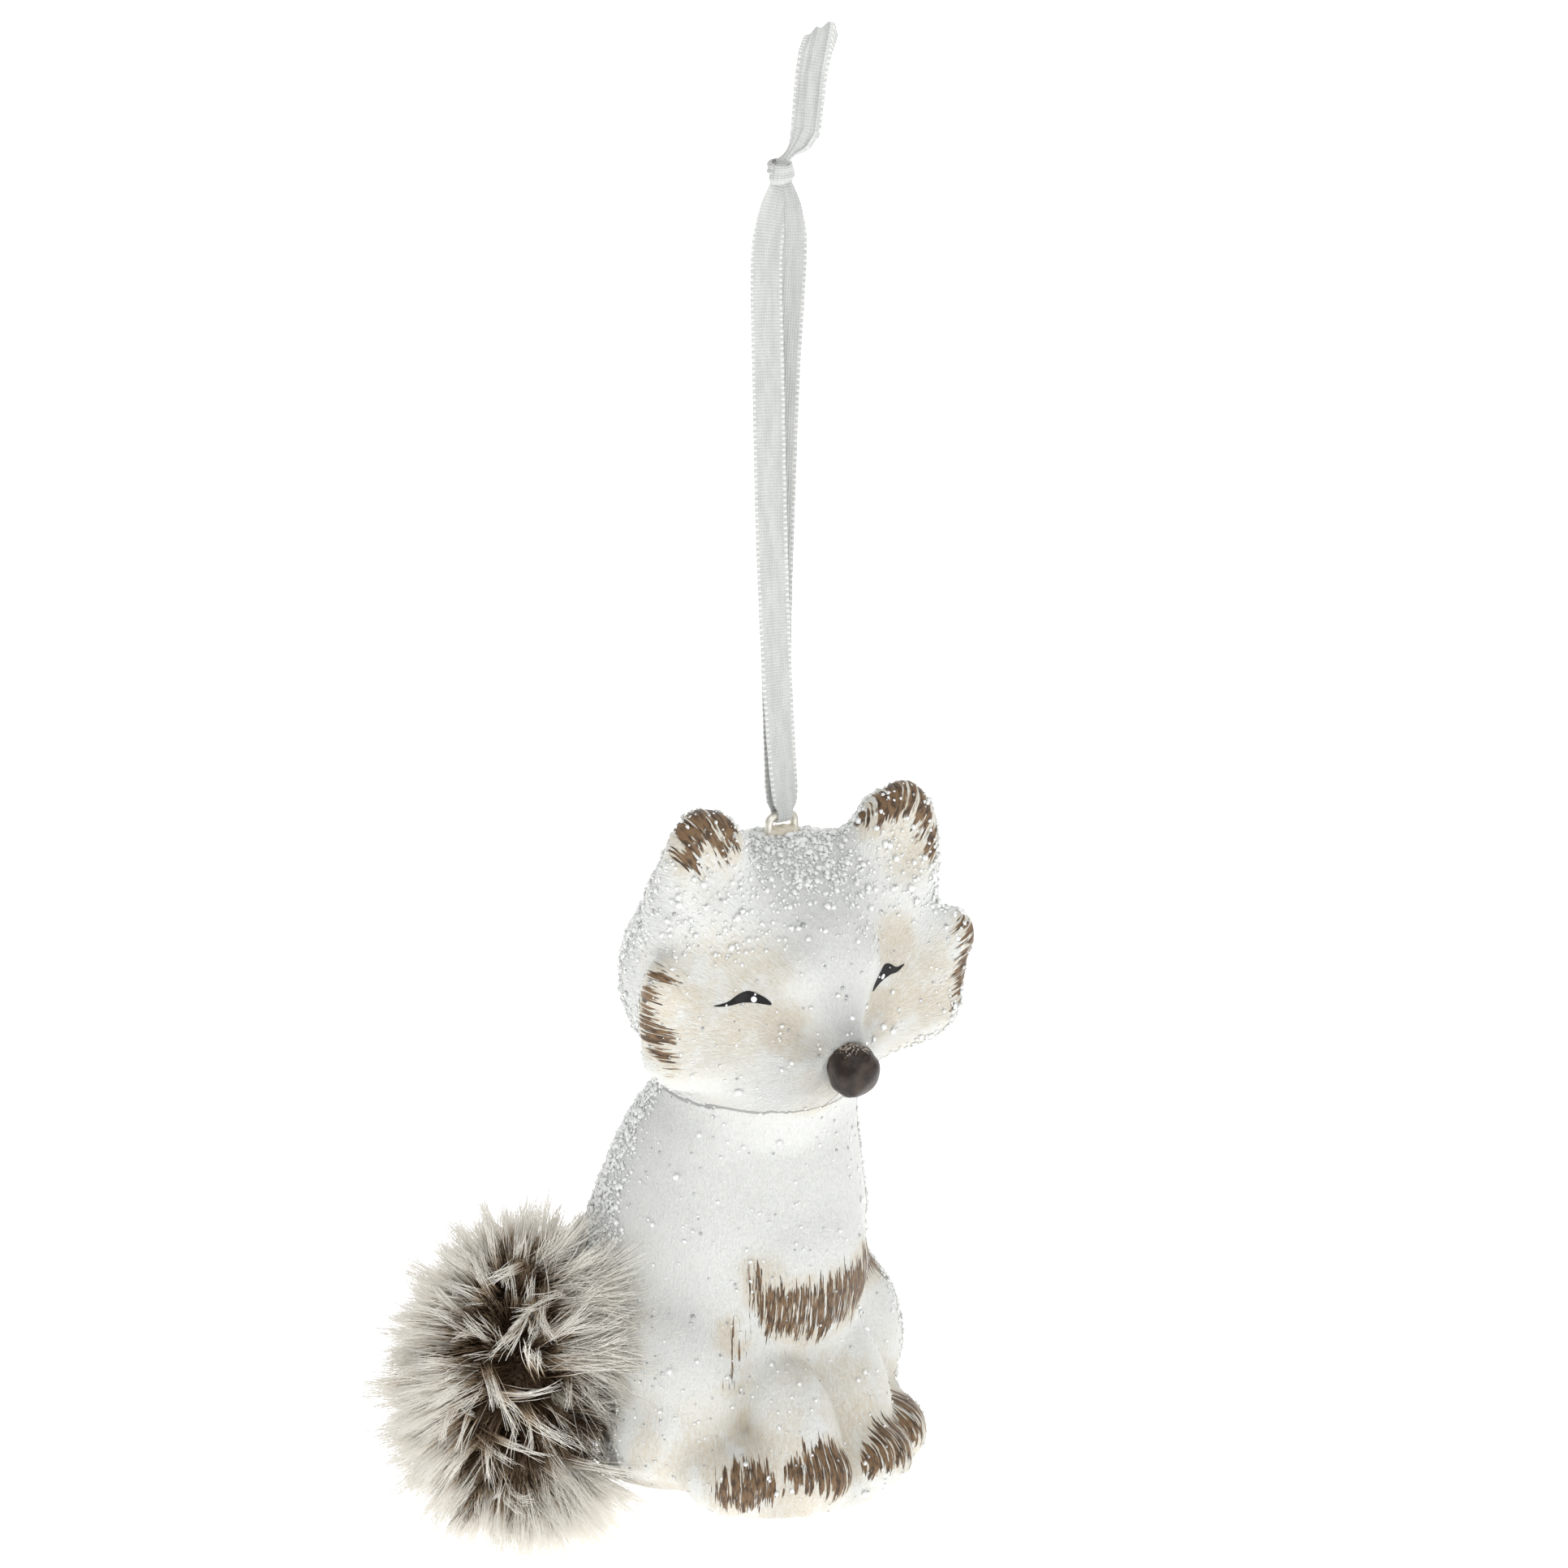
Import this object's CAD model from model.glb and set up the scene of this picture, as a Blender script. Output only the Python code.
"""Dresses the hanging fox ornament: sculpted and painted casting, snow grit, nose, eyes, fur tail, ribbon."""
import math

import bmesh
import bpy
import numpy as np
from bpy.props import FloatProperty, FloatVectorProperty, IntProperty, PointerProperty
from mathutils import Matrix, Vector
from mathutils.bvhtree import BVHTree


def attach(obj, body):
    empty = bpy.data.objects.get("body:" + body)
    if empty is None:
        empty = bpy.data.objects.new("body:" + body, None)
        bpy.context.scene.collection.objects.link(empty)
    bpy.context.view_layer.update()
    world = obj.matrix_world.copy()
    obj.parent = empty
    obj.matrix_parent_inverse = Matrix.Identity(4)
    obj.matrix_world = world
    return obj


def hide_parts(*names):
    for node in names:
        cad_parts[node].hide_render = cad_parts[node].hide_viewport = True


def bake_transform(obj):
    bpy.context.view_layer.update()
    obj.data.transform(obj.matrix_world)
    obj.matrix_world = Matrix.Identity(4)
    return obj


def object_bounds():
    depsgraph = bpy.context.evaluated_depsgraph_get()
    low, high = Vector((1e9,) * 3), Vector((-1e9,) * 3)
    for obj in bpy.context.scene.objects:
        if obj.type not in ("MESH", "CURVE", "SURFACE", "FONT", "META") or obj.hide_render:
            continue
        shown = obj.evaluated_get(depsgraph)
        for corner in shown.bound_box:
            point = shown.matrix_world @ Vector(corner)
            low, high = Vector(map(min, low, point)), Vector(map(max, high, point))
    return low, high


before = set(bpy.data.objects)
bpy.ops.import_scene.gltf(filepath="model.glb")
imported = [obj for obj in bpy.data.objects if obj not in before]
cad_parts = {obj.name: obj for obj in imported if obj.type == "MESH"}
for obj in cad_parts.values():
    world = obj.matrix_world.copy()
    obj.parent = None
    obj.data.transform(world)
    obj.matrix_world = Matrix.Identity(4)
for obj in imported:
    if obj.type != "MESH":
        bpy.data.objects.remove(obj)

bl_info = {
    "name": "Hanging Fox Ornament",
    "version": (1, 0, 0),
    "blender": (4, 5, 0),
    "location": "View3D > Sidebar > Fox",
    "description": "Dresses a ceramic fox ornament with clay, paint, snow grit, fur and ribbon",
    "category": "Object",
}

CAD_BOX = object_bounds()
MM = 0.001
BOTH = (-1, 1)

# The fox's own zero, in the middle of its base line at the front of the neck, seen from the loop's top.
FOX_CORNER = np.array([-1.5, -4.0, -135.7])
HEAD_TURN = math.radians(-7.2)

# Camera: the way the photo looks at the fox, its distance and the width of its frame in millimetres.
CAMERA_AZIMUTH = math.radians(-40.0)
CAMERA_HEIGHT = math.radians(15.0)
CAMERA_DISTANCE = 520.0
FRAME_WIDTH = 158.4
PHOTO_SIZE = 1932.0
HALF = PHOTO_SIZE / 2
PIXEL = FRAME_WIDTH / PHOTO_SIZE
CAMERA_AIM = np.array([-0.89, 0.75, 75.51])

# Rays that miss the fox are drawn towards this pixel of the head, upwards only above the neck's pixel.
HEAD_PIXEL = (980, 1230)
NECK_PIXEL = 1380

# Stage, in metres, and its lamps: side, height and nearness from the middle of the fox, size and power.
FLOOR_GAP = 0.03
FLOOR_HALF = 12.0
BACKDROP_HEIGHT = 17.0
BACKDROP_BEND = 5.6
LAMP_DISTANCE = 0.75
ROOM_LIGHT = 0.52
LAMPS = (
    ("key_light", 0.05, 0.75, 0.95, 0.5, 1.4),
    ("fill_light", 0.85, 0.25, 0.9, 0.7, 1.3),
    ("rim_light", 0.35, 0.85, -0.8, 0.5, 0.9),
)

# Ribbon loop from the knot down: share of the loop's length, then across the ribbon and square to it
# as shares of its width, for the near strand and the far one, and the turn of its width from +X.
LOOP_LENGTH = 64.5
RIBBON_WIDTH = 3.2
RIBBON_SHARES = [
    (0.0, -0.16, -0.05, 0.16, 0.05, -40.0),
    (0.05, -0.34, -0.06, 0.31, 0.06, -40.0),
    (0.12, -0.5, -0.09, 0.31, 0.09, -40.0),
    (0.28, -0.42, -0.11, 0.08, 0.11, -38.0),
    (0.5, -0.375, -0.14, -0.06, 0.14, -32.0),
    (0.71, -0.28, -0.17, -0.16, 0.17, -22.0),
    (0.9, -0.125, -0.19, -0.06, 0.19, -9.0),
]

# Width of the loop at shares of its length, as shares of the ribbon's width.
LOOP_WIDTHS = [
    (-0.014, 0.30), (0.0, 0.42), (0.03, 0.72), (0.08, 0.97), (0.2, 1.0), (0.955, 1.0), (0.978, 0.9),
    (0.993, 0.56), (1.1, 0.53),
]

# The fold under the wire: how far it reaches to the side, and its looped edge.
FOLD_REACH = 0.62
PICOT = 0.010
PICOT_PITCH = 0.57

# Cut end: height over the loop's top, lean and share of the width, then its folds and its stepped cut.
TAIL_SHAPE = [
    (2.0, 0.1, 0.5), (2.8, 0.6, 0.28), (3.3, 1.05, 0.36), (4.2, 1.85, 0.74), (5.4, 2.4, 0.95),
    (8.0, 2.65, 0.98),
    (11.0, 2.95, 1.0), (13.0, 3.3, 1.04), (16.3, 3.9, 1.06),
]
TAIL_LANES = 25
TAIL_RINGS = 90
TAIL_FOLDS = ((-0.6, 0.16, 0.07), (-0.2, 0.20, 0.08), (0.62, 0.42, 0.09))
TAIL_CUT = [
    (-1.7, -1.9), (-1.1, -1.65), (-0.45, -0.75), (0.0, -0.85), (0.7, -0.1), (1.35, 0.0), (1.7, -1.6),
]

# Middle of the knot over the loop's top, and half its height.
KNOT_RISE = 1.2
KNOT_HALF = 1.18

# Right eye as painted: along the lid from its inner corner and up from it, in millimetres.
EYE_OUTLINE = [
    (6.3, 0.0), (5.1, 0.15), (4.4, 0.34), (3.6, 0.92), (2.75, 1.3), (2.1, 1.34), (1.1, 0.95), (0.35, 0.5),
    (0.0, 0.12), (0.05, -0.06), (0.65, 0.03), (1.5, 0.2), (2.5, 0.25), (3.4, 0.17), (4.2, -0.05),
    (5.1, -0.13),
]
EYE_DOT = (1.85, 0.55, 0.3)

# Inner and outer corner of the right eye, then of the left one, in the photo's pixels.
EYE_CORNERS = [(951, 1238), (876, 1240), (1075, 1222), (1116, 1186)]

# Pushes of the clay on the turned head: amount, middle and reach in millimetres, the sides where it is done
# and whether it moves only what looks ahead. They shape ears, eye hollows, cheeks, jaw and brow.
HEAD_PUSHES = [
    (-1.1, (11.8, -4.2, 68.6), (3.9, 4.5, 6.0), BOTH, True),
    (-0.6, (5.6, -6.8, 52.6), (3.2, 4.0, 5.0), BOTH, True),
    (0.5, (10.0, -5.0, 54.0), (5.5, 4.0, 5.0), BOTH, True),
    (1.2, (8.4, -1.0, 71.0), (4.0, 4.0, 5.5), BOTH, False),
    (1.4, (14.5, -1.5, 47.5), (6.5, 7.0, 7.0), BOTH, False),
    (0.7, (11.0, -3.0, 43.8), (6.0, 5.0, 4.5), (-1,), False),
    (1.3, (11.0, -3.0, 43.8), (6.0, 5.0, 4.5), (1,), False),
    (-0.9, (3.6, -8.0, 50.5), (3.0, 4.0, 4.5), BOTH, False),
    (0.8, (4.0, -7.5, 58.5), (3.4, 4.5, 4.0), BOTH, False),
    (1.6, (0.0, -6.0, 63.0), (10.0, 8.0, 9.0), (1,), False),
    (0.6, (16.5, -1.0, 45.5), (6.0, 7.0, 6.5), (-1,), False),
    (0.6, (10.5, 0.0, 74.0), (4.5, 4.0, 4.5), (-1,), False),
]

# Grooves between toes: middle of the foot, half a toe, depth, where the groove fades and the foot's front.
TOES = [(4.2, 0.9, 0.32, (4.5, 6.4), -9.0), (11.0, 1.0, 0.28, (4.2, 6.0), -4.6)]

# Nose bead on the turned head, and the part round its socket that stays unsmoothed.
NOSE_MIDDLE = (0, -10.6, 48.0)
NOSE_RADIUS = 2.7
SOCKET_REACH = (4.6, 4.6, 4.6)

# Brown brushed marks: runs of points in the photo's pixels with a half width in millimetres.
BROWN_RUNS = [
    [(848, 1058, 0.9), (852, 1022, 2.2), (876, 1012, 2.4), (892, 1024, 1.6), (896, 1044, 0.8)],
    [(1072, 1016, 0.6), (1088, 996, 1.4), (1110, 976, 2.3), (1132, 984, 2.2), (1144, 1014, 1.2),
     (1148, 1048, 0.6)],
    [(834, 1207, 0.3), (816, 1203, 0.7), (800, 1212, 0.9), (793, 1232, 1.1), (797, 1262, 1.3),
     (808, 1288, 1.2),
     (824, 1314, 0.4)],
    [(1208, 1140, 1.2), (1202, 1162, 1.6), (1197, 1187, 1.7), (1190, 1210, 1.3), (1180, 1232, 0.4)],
    [(930, 1568, 0.5), (944, 1600, 1.4), (967, 1616, 2.5), (1005, 1618, 3.2), (1040, 1600, 3.0),
     (1062, 1574, 2.3),
     (1071, 1548, 1.6)],
    [(902, 1840, 1.9), (922, 1834, 2.8), (940, 1838, 1.8)],
    [(994, 1817, 1.9), (1020, 1810, 3.1), (1046, 1810, 2.2)],
    [(1087, 1795, 2.0), (1104, 1778, 2.6), (1113, 1760, 1.8)],
    [(1118, 1730, 2.2), (1128, 1755, 1.8)],
    [(903, 1632, -0.2), (907, 1668, 0.0), (900, 1704, -0.2)],
]

# Cream and peach tints: a point in the photo's pixels, its reach in millimetres and its strength.
WARM_SPOTS = [
    (880, 1195, 6.0, 0.55), (935, 1200, 5.0, 0.6), (910, 1262, 7.0, 0.62), (962, 1265, 4.0, 0.95),
    (915, 1215, 3.0, 0.85), (850, 1260, 5.5, 0.6), (990, 1300, 4.5, 0.55), (1102, 1180, 5.0, 0.75),
    (1090, 1245, 4.5, 1.0), (1130, 1240, 6.0, 0.62), (1155, 1195, 5.0, 0.6), (1125, 1290, 5.0, 0.5),
    (1100, 1160, 4.0, 0.85), (868, 1062, 5.0, 0.6), (850, 1040, 3.0, 0.7), (1118, 1045, 4.5, 0.8),
    (1110, 1020, 4.0, 0.7), (1020, 1345, 4.0, 0.5), (940, 1580, 3.6, 0.75), (1060, 1560, 3.5, 0.6),
    (1000, 1690, 5.5, 0.55), (903, 1650, 3.0, 0.8), (905, 1700, 3.6, 0.7), (870, 1800, 6.0, 0.7),
    (930, 1790, 4.5, 0.75), (1000, 1775, 5.5, 0.7), (1060, 1750, 5.0, 0.7), (820, 1840, 5.0, 0.65),
    (830, 1240, 7.0, 0.75), (1150, 1220, 6.5, 0.8), (850, 1290, 6.0, 0.5), (900, 1290, 6.0, 0.4),
    (1100, 1700, 4.0, 0.6), (985, 1850, 4.5, 0.8), (1050, 1690, 3.5, 0.6), (1035, 1790, 3.0, 0.8),
]

# Middle and half sizes of the tail's knit core, on the fox, and how far hair may leave the solids' box.
CORE_MIDDLE = np.array([-18.6, 23.8, 8.6])
CORE_RADIUS = 5.5
CORE_HALF_HEIGHT = 12.4
CORE_SIZES = np.array([CORE_RADIUS, CORE_RADIUS, CORE_HALF_HEIGHT])
HAIR_REACH = 4.5
HAIR_RINGS = 5
HAIR_PIECES = 6
TAIL_PIXEL = np.array([640.0, 1700.0])

# Places on the fur, in the photo's pixels: where the dark roots show, with a radius, the pale locks that
# lie across them and the fringe at the upper right, from root to tip.
DARK_SPOTS = [
    (655, 1568, 40), (612, 1620, 42), (680, 1630, 32), (568, 1672, 26), (640, 1700, 50), (700, 1722, 42),
    (640, 1760, 58), (708, 1775, 42), (625, 1812, 46), (742, 1796, 18), (578, 1800, 22),
]
LOCKS = [
    ((598, 1688), (620, 1748)), ((618, 1716), (676, 1728)), ((646, 1736), (696, 1796)),
    ((600, 1764), (650, 1792)),
    ((650, 1556), (612, 1580)), ((640, 1640), (618, 1672)), ((668, 1590), (636, 1640)),
    ((660, 1608), (652, 1652)),
    ((690, 1600), (664, 1628)), ((700, 1640), (742, 1612)), ((690, 1656), (740, 1640)),
    ((560, 1722), (546, 1760)),
    ((575, 1740), (560, 1775)), ((720, 1760), (744, 1830)), ((705, 1690), (732, 1736)),
    ((620, 1830), (648, 1872)),
    ((690, 1830), (742, 1884)), ((600, 1840), (592, 1892)), ((660, 1690), (640, 1660)),
    ((560, 1610), (540, 1590)),
    ((600, 1590), (570, 1560)), ((680, 1560), (720, 1520)), ((720, 1590), (770, 1560)),
    ((730, 1660), (790, 1650)),
    ((735, 1700), (790, 1720)), ((740, 1750), (786, 1790)),
]
FRINGE = [
    ((692, 1560), (728, 1498)), ((705, 1580), (752, 1512)), ((722, 1600), (776, 1530)),
    ((735, 1622), (792, 1556)),
    ((740, 1650), (800, 1592)), ((664, 1560), (690, 1486)), ((640, 1560), (650, 1482)),
]

GRAIN_CORNERS = np.array(
    [(0.0, 0.0, 1.0), (1.0, 0.1, 0.15), (0.2, 0.95, -0.1), (-0.9, 0.35, 0.2), (-0.35, -0.9, -0.15),
     (0.65, -0.75, 0.1),
     (0.0, 0.0, -0.9)]
)
GRAIN_FACES = np.array([(0, 1, 2), (0, 2, 3), (0, 3, 4), (0, 4, 5), (0, 5, 1), (6, 2, 1), (6, 3, 2),
    (6, 4, 3), (6, 5, 4),
                        (6, 1, 5)])


def length(name, words, value):
    """One length property."""
    return FloatProperty(name=name, description=words, default=value, unit="LENGTH")


def number(name, words, value):
    """One property that counts."""
    return IntProperty(name=name, description=words, default=value)


def colour(name, words, value):
    """One colour property."""
    return FloatVectorProperty(name=name, description=words, default=(*value, 1.0), size=4, subtype="COLOR")


class FoxSizes(bpy.types.PropertyGroup):
    """Sizes that a user would change."""

    clay_step: length("Clay step", "Mesh step of the casting", 0.00045)
    grain: length("Snow grain", "Middle size of a snow grain", 0.00037)
    flake: length("Glitter flake", "Middle width of a flake", 0.00056)
    hair: length("Hair", "Half thickness of a hair's root", 0.00006)
    ribbon: length("Ribbon thickness", "Ribbon's thickness", 0.00025)
    grains: number("Snow grains", "How many snow grains lie on the casting", 38000)
    flakes: number("Glitter flakes", "How many glitter flakes lie on it", 800)
    tufts: number("Fur tufts", "How many tufts of hair the tail has", 1500)


class FoxColours(bpy.types.PropertyGroup):
    """Colours that a user would change."""

    white: colour("White paint", "Cool white of the casting", (0.775, 0.782, 0.755))
    cream: colour("Cream tint", "Cream wash round eyes, creases and feet", (0.69, 0.645, 0.55))
    peach: colour("Peach tint", "Warmer spots in the cream", (0.61, 0.495, 0.365))
    brown: colour("Brushed brown", "Lighter tone of the brushed marks", (0.22, 0.135, 0.07))
    dark: colour("Dark brown", "Darker tone of the brushed marks", (0.07, 0.042, 0.023))
    snow: colour("Snow grit", "Snow grains", (0.92, 0.93, 0.915))
    nose: colour("Nose", "Nose bead", (0.017, 0.011, 0.009))
    eye: colour("Eye paint", "Painted eyes", (0.008, 0.008, 0.009))
    wire: colour("Wire paint", "Painted hanging eye", (0.72, 0.69, 0.62))
    glue: colour("Glue", "Dried glue", (0.74, 0.68, 0.56))
    ribbon: colour("Ribbon", "Satin ribbon", (0.575, 0.585, 0.57))
    fur_root: colour("Fur root", "Dark roots of the fur", (0.072, 0.042, 0.020))
    fur_middle: colour("Fur middle", "Beige middle of the hairs", (0.57, 0.43, 0.285))
    fur_tip: colour("Fur tip", "White tips of the hairs", (0.985, 0.955, 0.885))


# Places


def unit(vectors):
    """Vectors brought to length 1."""
    return vectors / np.linalg.norm(vectors, axis=-1, keepdims=True)


def turned(points, angle):
    """Points turned about the upright axis."""
    c, s = math.cos(angle), math.sin(angle)
    x, y, z = points.T
    return np.column_stack([x * c - y * s, x * s + y * c, z])


def on_fox(points):
    """World metres of points that are given on the fox in millimetres."""
    return (np.asarray(points, float) + FOX_CORNER) * MM


def on_head(point):
    """World metres of a point that is given on the turned head in millimetres."""
    return on_fox(turned(np.array([point], float), HEAD_TURN))[0]


def fox_places(world):
    """Fox millimetres of world points in metres."""
    return world / MM - FOX_CORNER


def head_places(world):
    """Head millimetres of world points in metres."""
    return turned(fox_places(world), -HEAD_TURN)


def ease(low, high, value):
    """Smooth step from 0 at low to 1 at high."""
    share = np.clip((value - low) / (high - low), 0, 1)
    return share * share * (3 - 2 * share)


def fade(low, high, value):
    """Smooth step from 1 at low to 0 at high."""
    return 1 - ease(low, high, value)


def near(points, middle, reach):
    """Soft share of how near points are to a middle."""
    return fade(0.0, 1.0, np.linalg.norm((points - np.asarray(middle)) / np.asarray(reach), axis=1))


def camera_axes():
    """Right, up and backwards of the camera."""
    ca, sa = math.cos(CAMERA_AZIMUTH), math.sin(CAMERA_AZIMUTH)
    ce, se = math.cos(CAMERA_HEIGHT), math.sin(CAMERA_HEIGHT)
    right = np.array([ca, sa, 0.0])
    back = np.array([sa * ce, -ca * ce, se])
    return right, np.cross(back, right), back


RIGHT, UP, BACK = camera_axes()
CAMERA_PLACE = on_fox(CAMERA_AIM) + BACK * CAMERA_DISTANCE * MM


def sight(x, y):
    """From the camera towards a pixel of the photo, in millimetres."""
    return (x - HALF) * PIXEL * RIGHT - (y - HALF) * PIXEL * UP - CAMERA_DISTANCE * BACK


def seen(shell, x, y):
    """The point of a shell that the photo shows at a pixel, or the nearest one inside the outline."""
    for pull in np.linspace(0, 1, 60):
        across = x + (HEAD_PIXEL[0] - x) * pull
        down = y + (HEAD_PIXEL[1] - y) * pull * (y < NECK_PIXEL)
        hit = shell.ray_cast(Vector(CAMERA_PLACE), Vector(sight(across, down)).normalized())[0]
        if hit is not None:
            return np.array(hit)
    raise RuntimeError(f"nothing at pixel {x}, {y}")


def pixel_of(point):
    """The photo's pixel of a point on the fox."""
    way = np.asarray(point) - CAMERA_AIM
    near_by = CAMERA_DISTANCE / (CAMERA_DISTANCE - way @ BACK)
    return HALF + way @ RIGHT * near_by / PIXEL, HALF - way @ UP * near_by / PIXEL


# Objects and meshes


def deselect():
    """Leaves nothing selected."""
    if bpy.context.object and bpy.context.object.mode != "OBJECT":
        bpy.ops.object.mode_set(mode="OBJECT")
    bpy.ops.object.select_all(action="DESELECT")


def pick(thing):
    """Selects one object and makes it active."""
    deselect()
    thing.select_set(True)
    bpy.context.view_layer.objects.active = thing


def settle(thing):
    """Moves an object's place into its mesh."""
    pick(thing)
    bpy.ops.object.transform_apply(location=True, rotation=True, scale=True)


def apply_all(thing):
    """Applies all modifiers of an object in order."""
    pick(thing)
    for modifier in list(thing.modifiers):
        bpy.ops.object.modifier_apply(modifier=modifier.name)


def smooth(thing, angle=180.0):
    """Shades a piece smooth, apart from edges that are sharper than an angle in degrees."""
    pick(thing)
    bpy.ops.object.shade_smooth_by_angle(angle=math.radians(angle))


def linked(name, data):
    """A new object in the scene."""
    thing = bpy.data.objects.new(name, data)
    bpy.context.scene.collection.objects.link(thing)
    return thing


def ball(name, segments, rings, radius, middle, scale=(1.0, 1.0, 1.0)):
    """A round piece at a place."""
    deselect()
    bpy.ops.mesh.primitive_uv_sphere_add(segments=segments, ring_count=rings, radius=radius, location=middle)
    thing = bpy.context.object
    thing.name = name
    thing.data.name = name
    thing.scale = scale
    settle(thing)
    return thing


def read_all(items, key, width, kind=float):
    """A row of values for each item of a mesh."""
    values = np.empty(len(items) * width, kind)
    items.foreach_get(key, values)
    return values.reshape(-1, width)


def edges_of(mesh):
    return read_all(mesh.edges, "vertices", 2, np.int32)


def places_of(mesh):
    return read_all(mesh.vertices, "co", 3)


def normals_of(mesh):
    return read_all(mesh.vertex_normals, "vector", 3)


def marks_of(mesh, name):
    return read_all(mesh.attributes[name].data, "value", 1, np.float32)[:, 0]


def put_places(mesh, places):
    mesh.vertices.foreach_set("co", places.ravel())
    mesh.update()


def neighbour_mean(places, pairs, degree):
    """Mean place of each point's neighbours."""
    total = np.empty_like(places)
    for axis in range(places.shape[1]):
        column = places[:, axis]
        total[:, axis] = np.bincount(pairs[:, 0], column[pairs[:, 1]], len(places))
        total[:, axis] += np.bincount(pairs[:, 1], column[pairs[:, 0]], len(places))
    return total / degree[:, None]


def mark(mesh, name, values):
    """Writes one number, or three, for each point of a mesh."""
    values = np.asarray(values, np.float32)
    if values.ndim == 1:
        mesh.attributes.new(name, "FLOAT", "POINT").data.foreach_set("value", values)
    else:
        mesh.attributes.new(name, "FLOAT_VECTOR", "POINT").data.foreach_set("vector", values.ravel())


def piece_of(name, places, faces, body, slot, finish, **marks):
    """A new mesh piece from arrays of points and faces."""
    mesh = bpy.data.meshes.new(name)
    mesh.vertices.add(len(places))
    mesh.loops.add(faces.size)
    mesh.polygons.add(len(faces))
    mesh.vertices.foreach_set("co", np.asarray(places, np.float32).ravel())
    mesh.loops.foreach_set("vertex_index", np.asarray(faces, np.int32).ravel())
    mesh.polygons.foreach_set("loop_start", np.arange(0, faces.size, faces.shape[1], dtype=np.int32))
    mesh.update(calc_edges=True)
    mesh.validate()
    for key, values in marks.items():
        mark(mesh, key, values)
    thing = linked(name, mesh)
    mesh.materials.append(bpy.data.materials[finish])
    if body:
        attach(thing, body)
    return thing


def shell_of(mesh):
    """A mesh as something that rays can hit."""
    places = places_of(mesh)
    return BVHTree.FromPolygons([tuple(p) for p in places], [tuple(f.vertices) for f in mesh.polygons])


# Finishes


def add_node(tree, kind, options=None, **settings):
    """A node with its options, and a value or a link for each socket that is named."""
    made = tree.nodes.new("ShaderNode" + kind)
    for key, value in (options or {}).items():
        setattr(made, key, value)
    for key, value in settings.items():
        socket = made.inputs[int(key[2:])] if key.startswith("in") else made.inputs[key]
        if isinstance(value, bpy.types.NodeSocket):
            tree.links.new(value, socket)
        else:
            socket.default_value = value
    return made


def maths(tree, operation, first, second=0.0, third=0.0):
    return add_node(tree, "Math", {"operation": operation}, in0=first, in1=second, in2=third).outputs[0]


class Finish:
    """A material in the making: its shader and short calls for its nodes."""

    def __init__(self, name, **settings):
        self.material = bpy.data.materials.new(name)
        self.material.use_nodes = True
        self.tree = self.material.node_tree
        self.shader = self.tree.nodes["Principled BSDF"]
        for key, value in settings.items():
            self.shader.inputs[key.replace("_", " ")].default_value = value

    def read(self, name, part="Fac"):
        """The piece's own attribute."""
        return add_node(self.tree, "Attribute", {"attribute_name": name}).outputs[part]

    def sum(self, first, second, third=0.0):
        """first * second + third"""
        return maths(self.tree, "MULTIPLY_ADD", first, second, third)

    def off_half(self, value):
        """A noise around zero."""
        return maths(self.tree, "SUBTRACT", value, 0.5)

    def wave(self, value, pace):
        """Sine of value * pace."""
        return maths(self.tree, "SINE", self.sum(value, pace))

    def step(self, value, low, high, to_low=0.0, to_high=1.0):
        """Smooth step of a value."""
        ends = {"in1": low, "in2": high, "in3": to_low, "in4": to_high}
        made = add_node(self.tree, "MapRange", {"interpolation_type": "SMOOTHSTEP"}, in0=value, **ends)
        return made.outputs[0]

    def mix(self, share, first, second):
        """Mix of two colours."""
        return add_node(self.tree, "Mix", {"data_type": "RGBA"}, in0=share, in6=first, in7=second).outputs[2]

    def noise(self, place, scale, detail, rough=0.5):
        made = add_node(self.tree, "TexNoise", Vector=place, Scale=scale, Detail=detail, Roughness=rough)
        return made.outputs["Fac"]

    def mottle(self, slow, fine):
        """Slow and fine unevenness of a hand-made surface, as two values around one half."""
        place = add_node(self.tree, "TexCoord").outputs["Object"]
        return self.noise(place, slow, 4.0), self.noise(place, fine, 3.0)

    def brush(self, across, along):
        """Broad and thin brush streaks along the piece's flow, in turns per millimetre."""
        flow = self.read("flow", "Vector")
        pace = (across, along, 1.0)
        moved = add_node(self.tree, "VectorMath", {"operation": "MULTIPLY"}, in0=flow, in1=pace)
        place = moved.outputs[0]
        return self.noise(place, 1.0, 3.0, 0.55), self.noise(place, 3.1, 2.0, 0.6)

    def coat(self, paint, rough, height=None, strength=1.0, distance=0.0):
        """Links colour, roughness and relief to the shader."""
        self.tree.links.new(paint, self.shader.inputs["Base Color"])
        self.tree.links.new(rough, self.shader.inputs["Roughness"])
        if height is not None:
            bump = add_node(self.tree, "Bump", Strength=strength, Distance=distance, Height=height)
            self.tree.links.new(bump.outputs[0], self.shader.inputs["Normal"])


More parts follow.
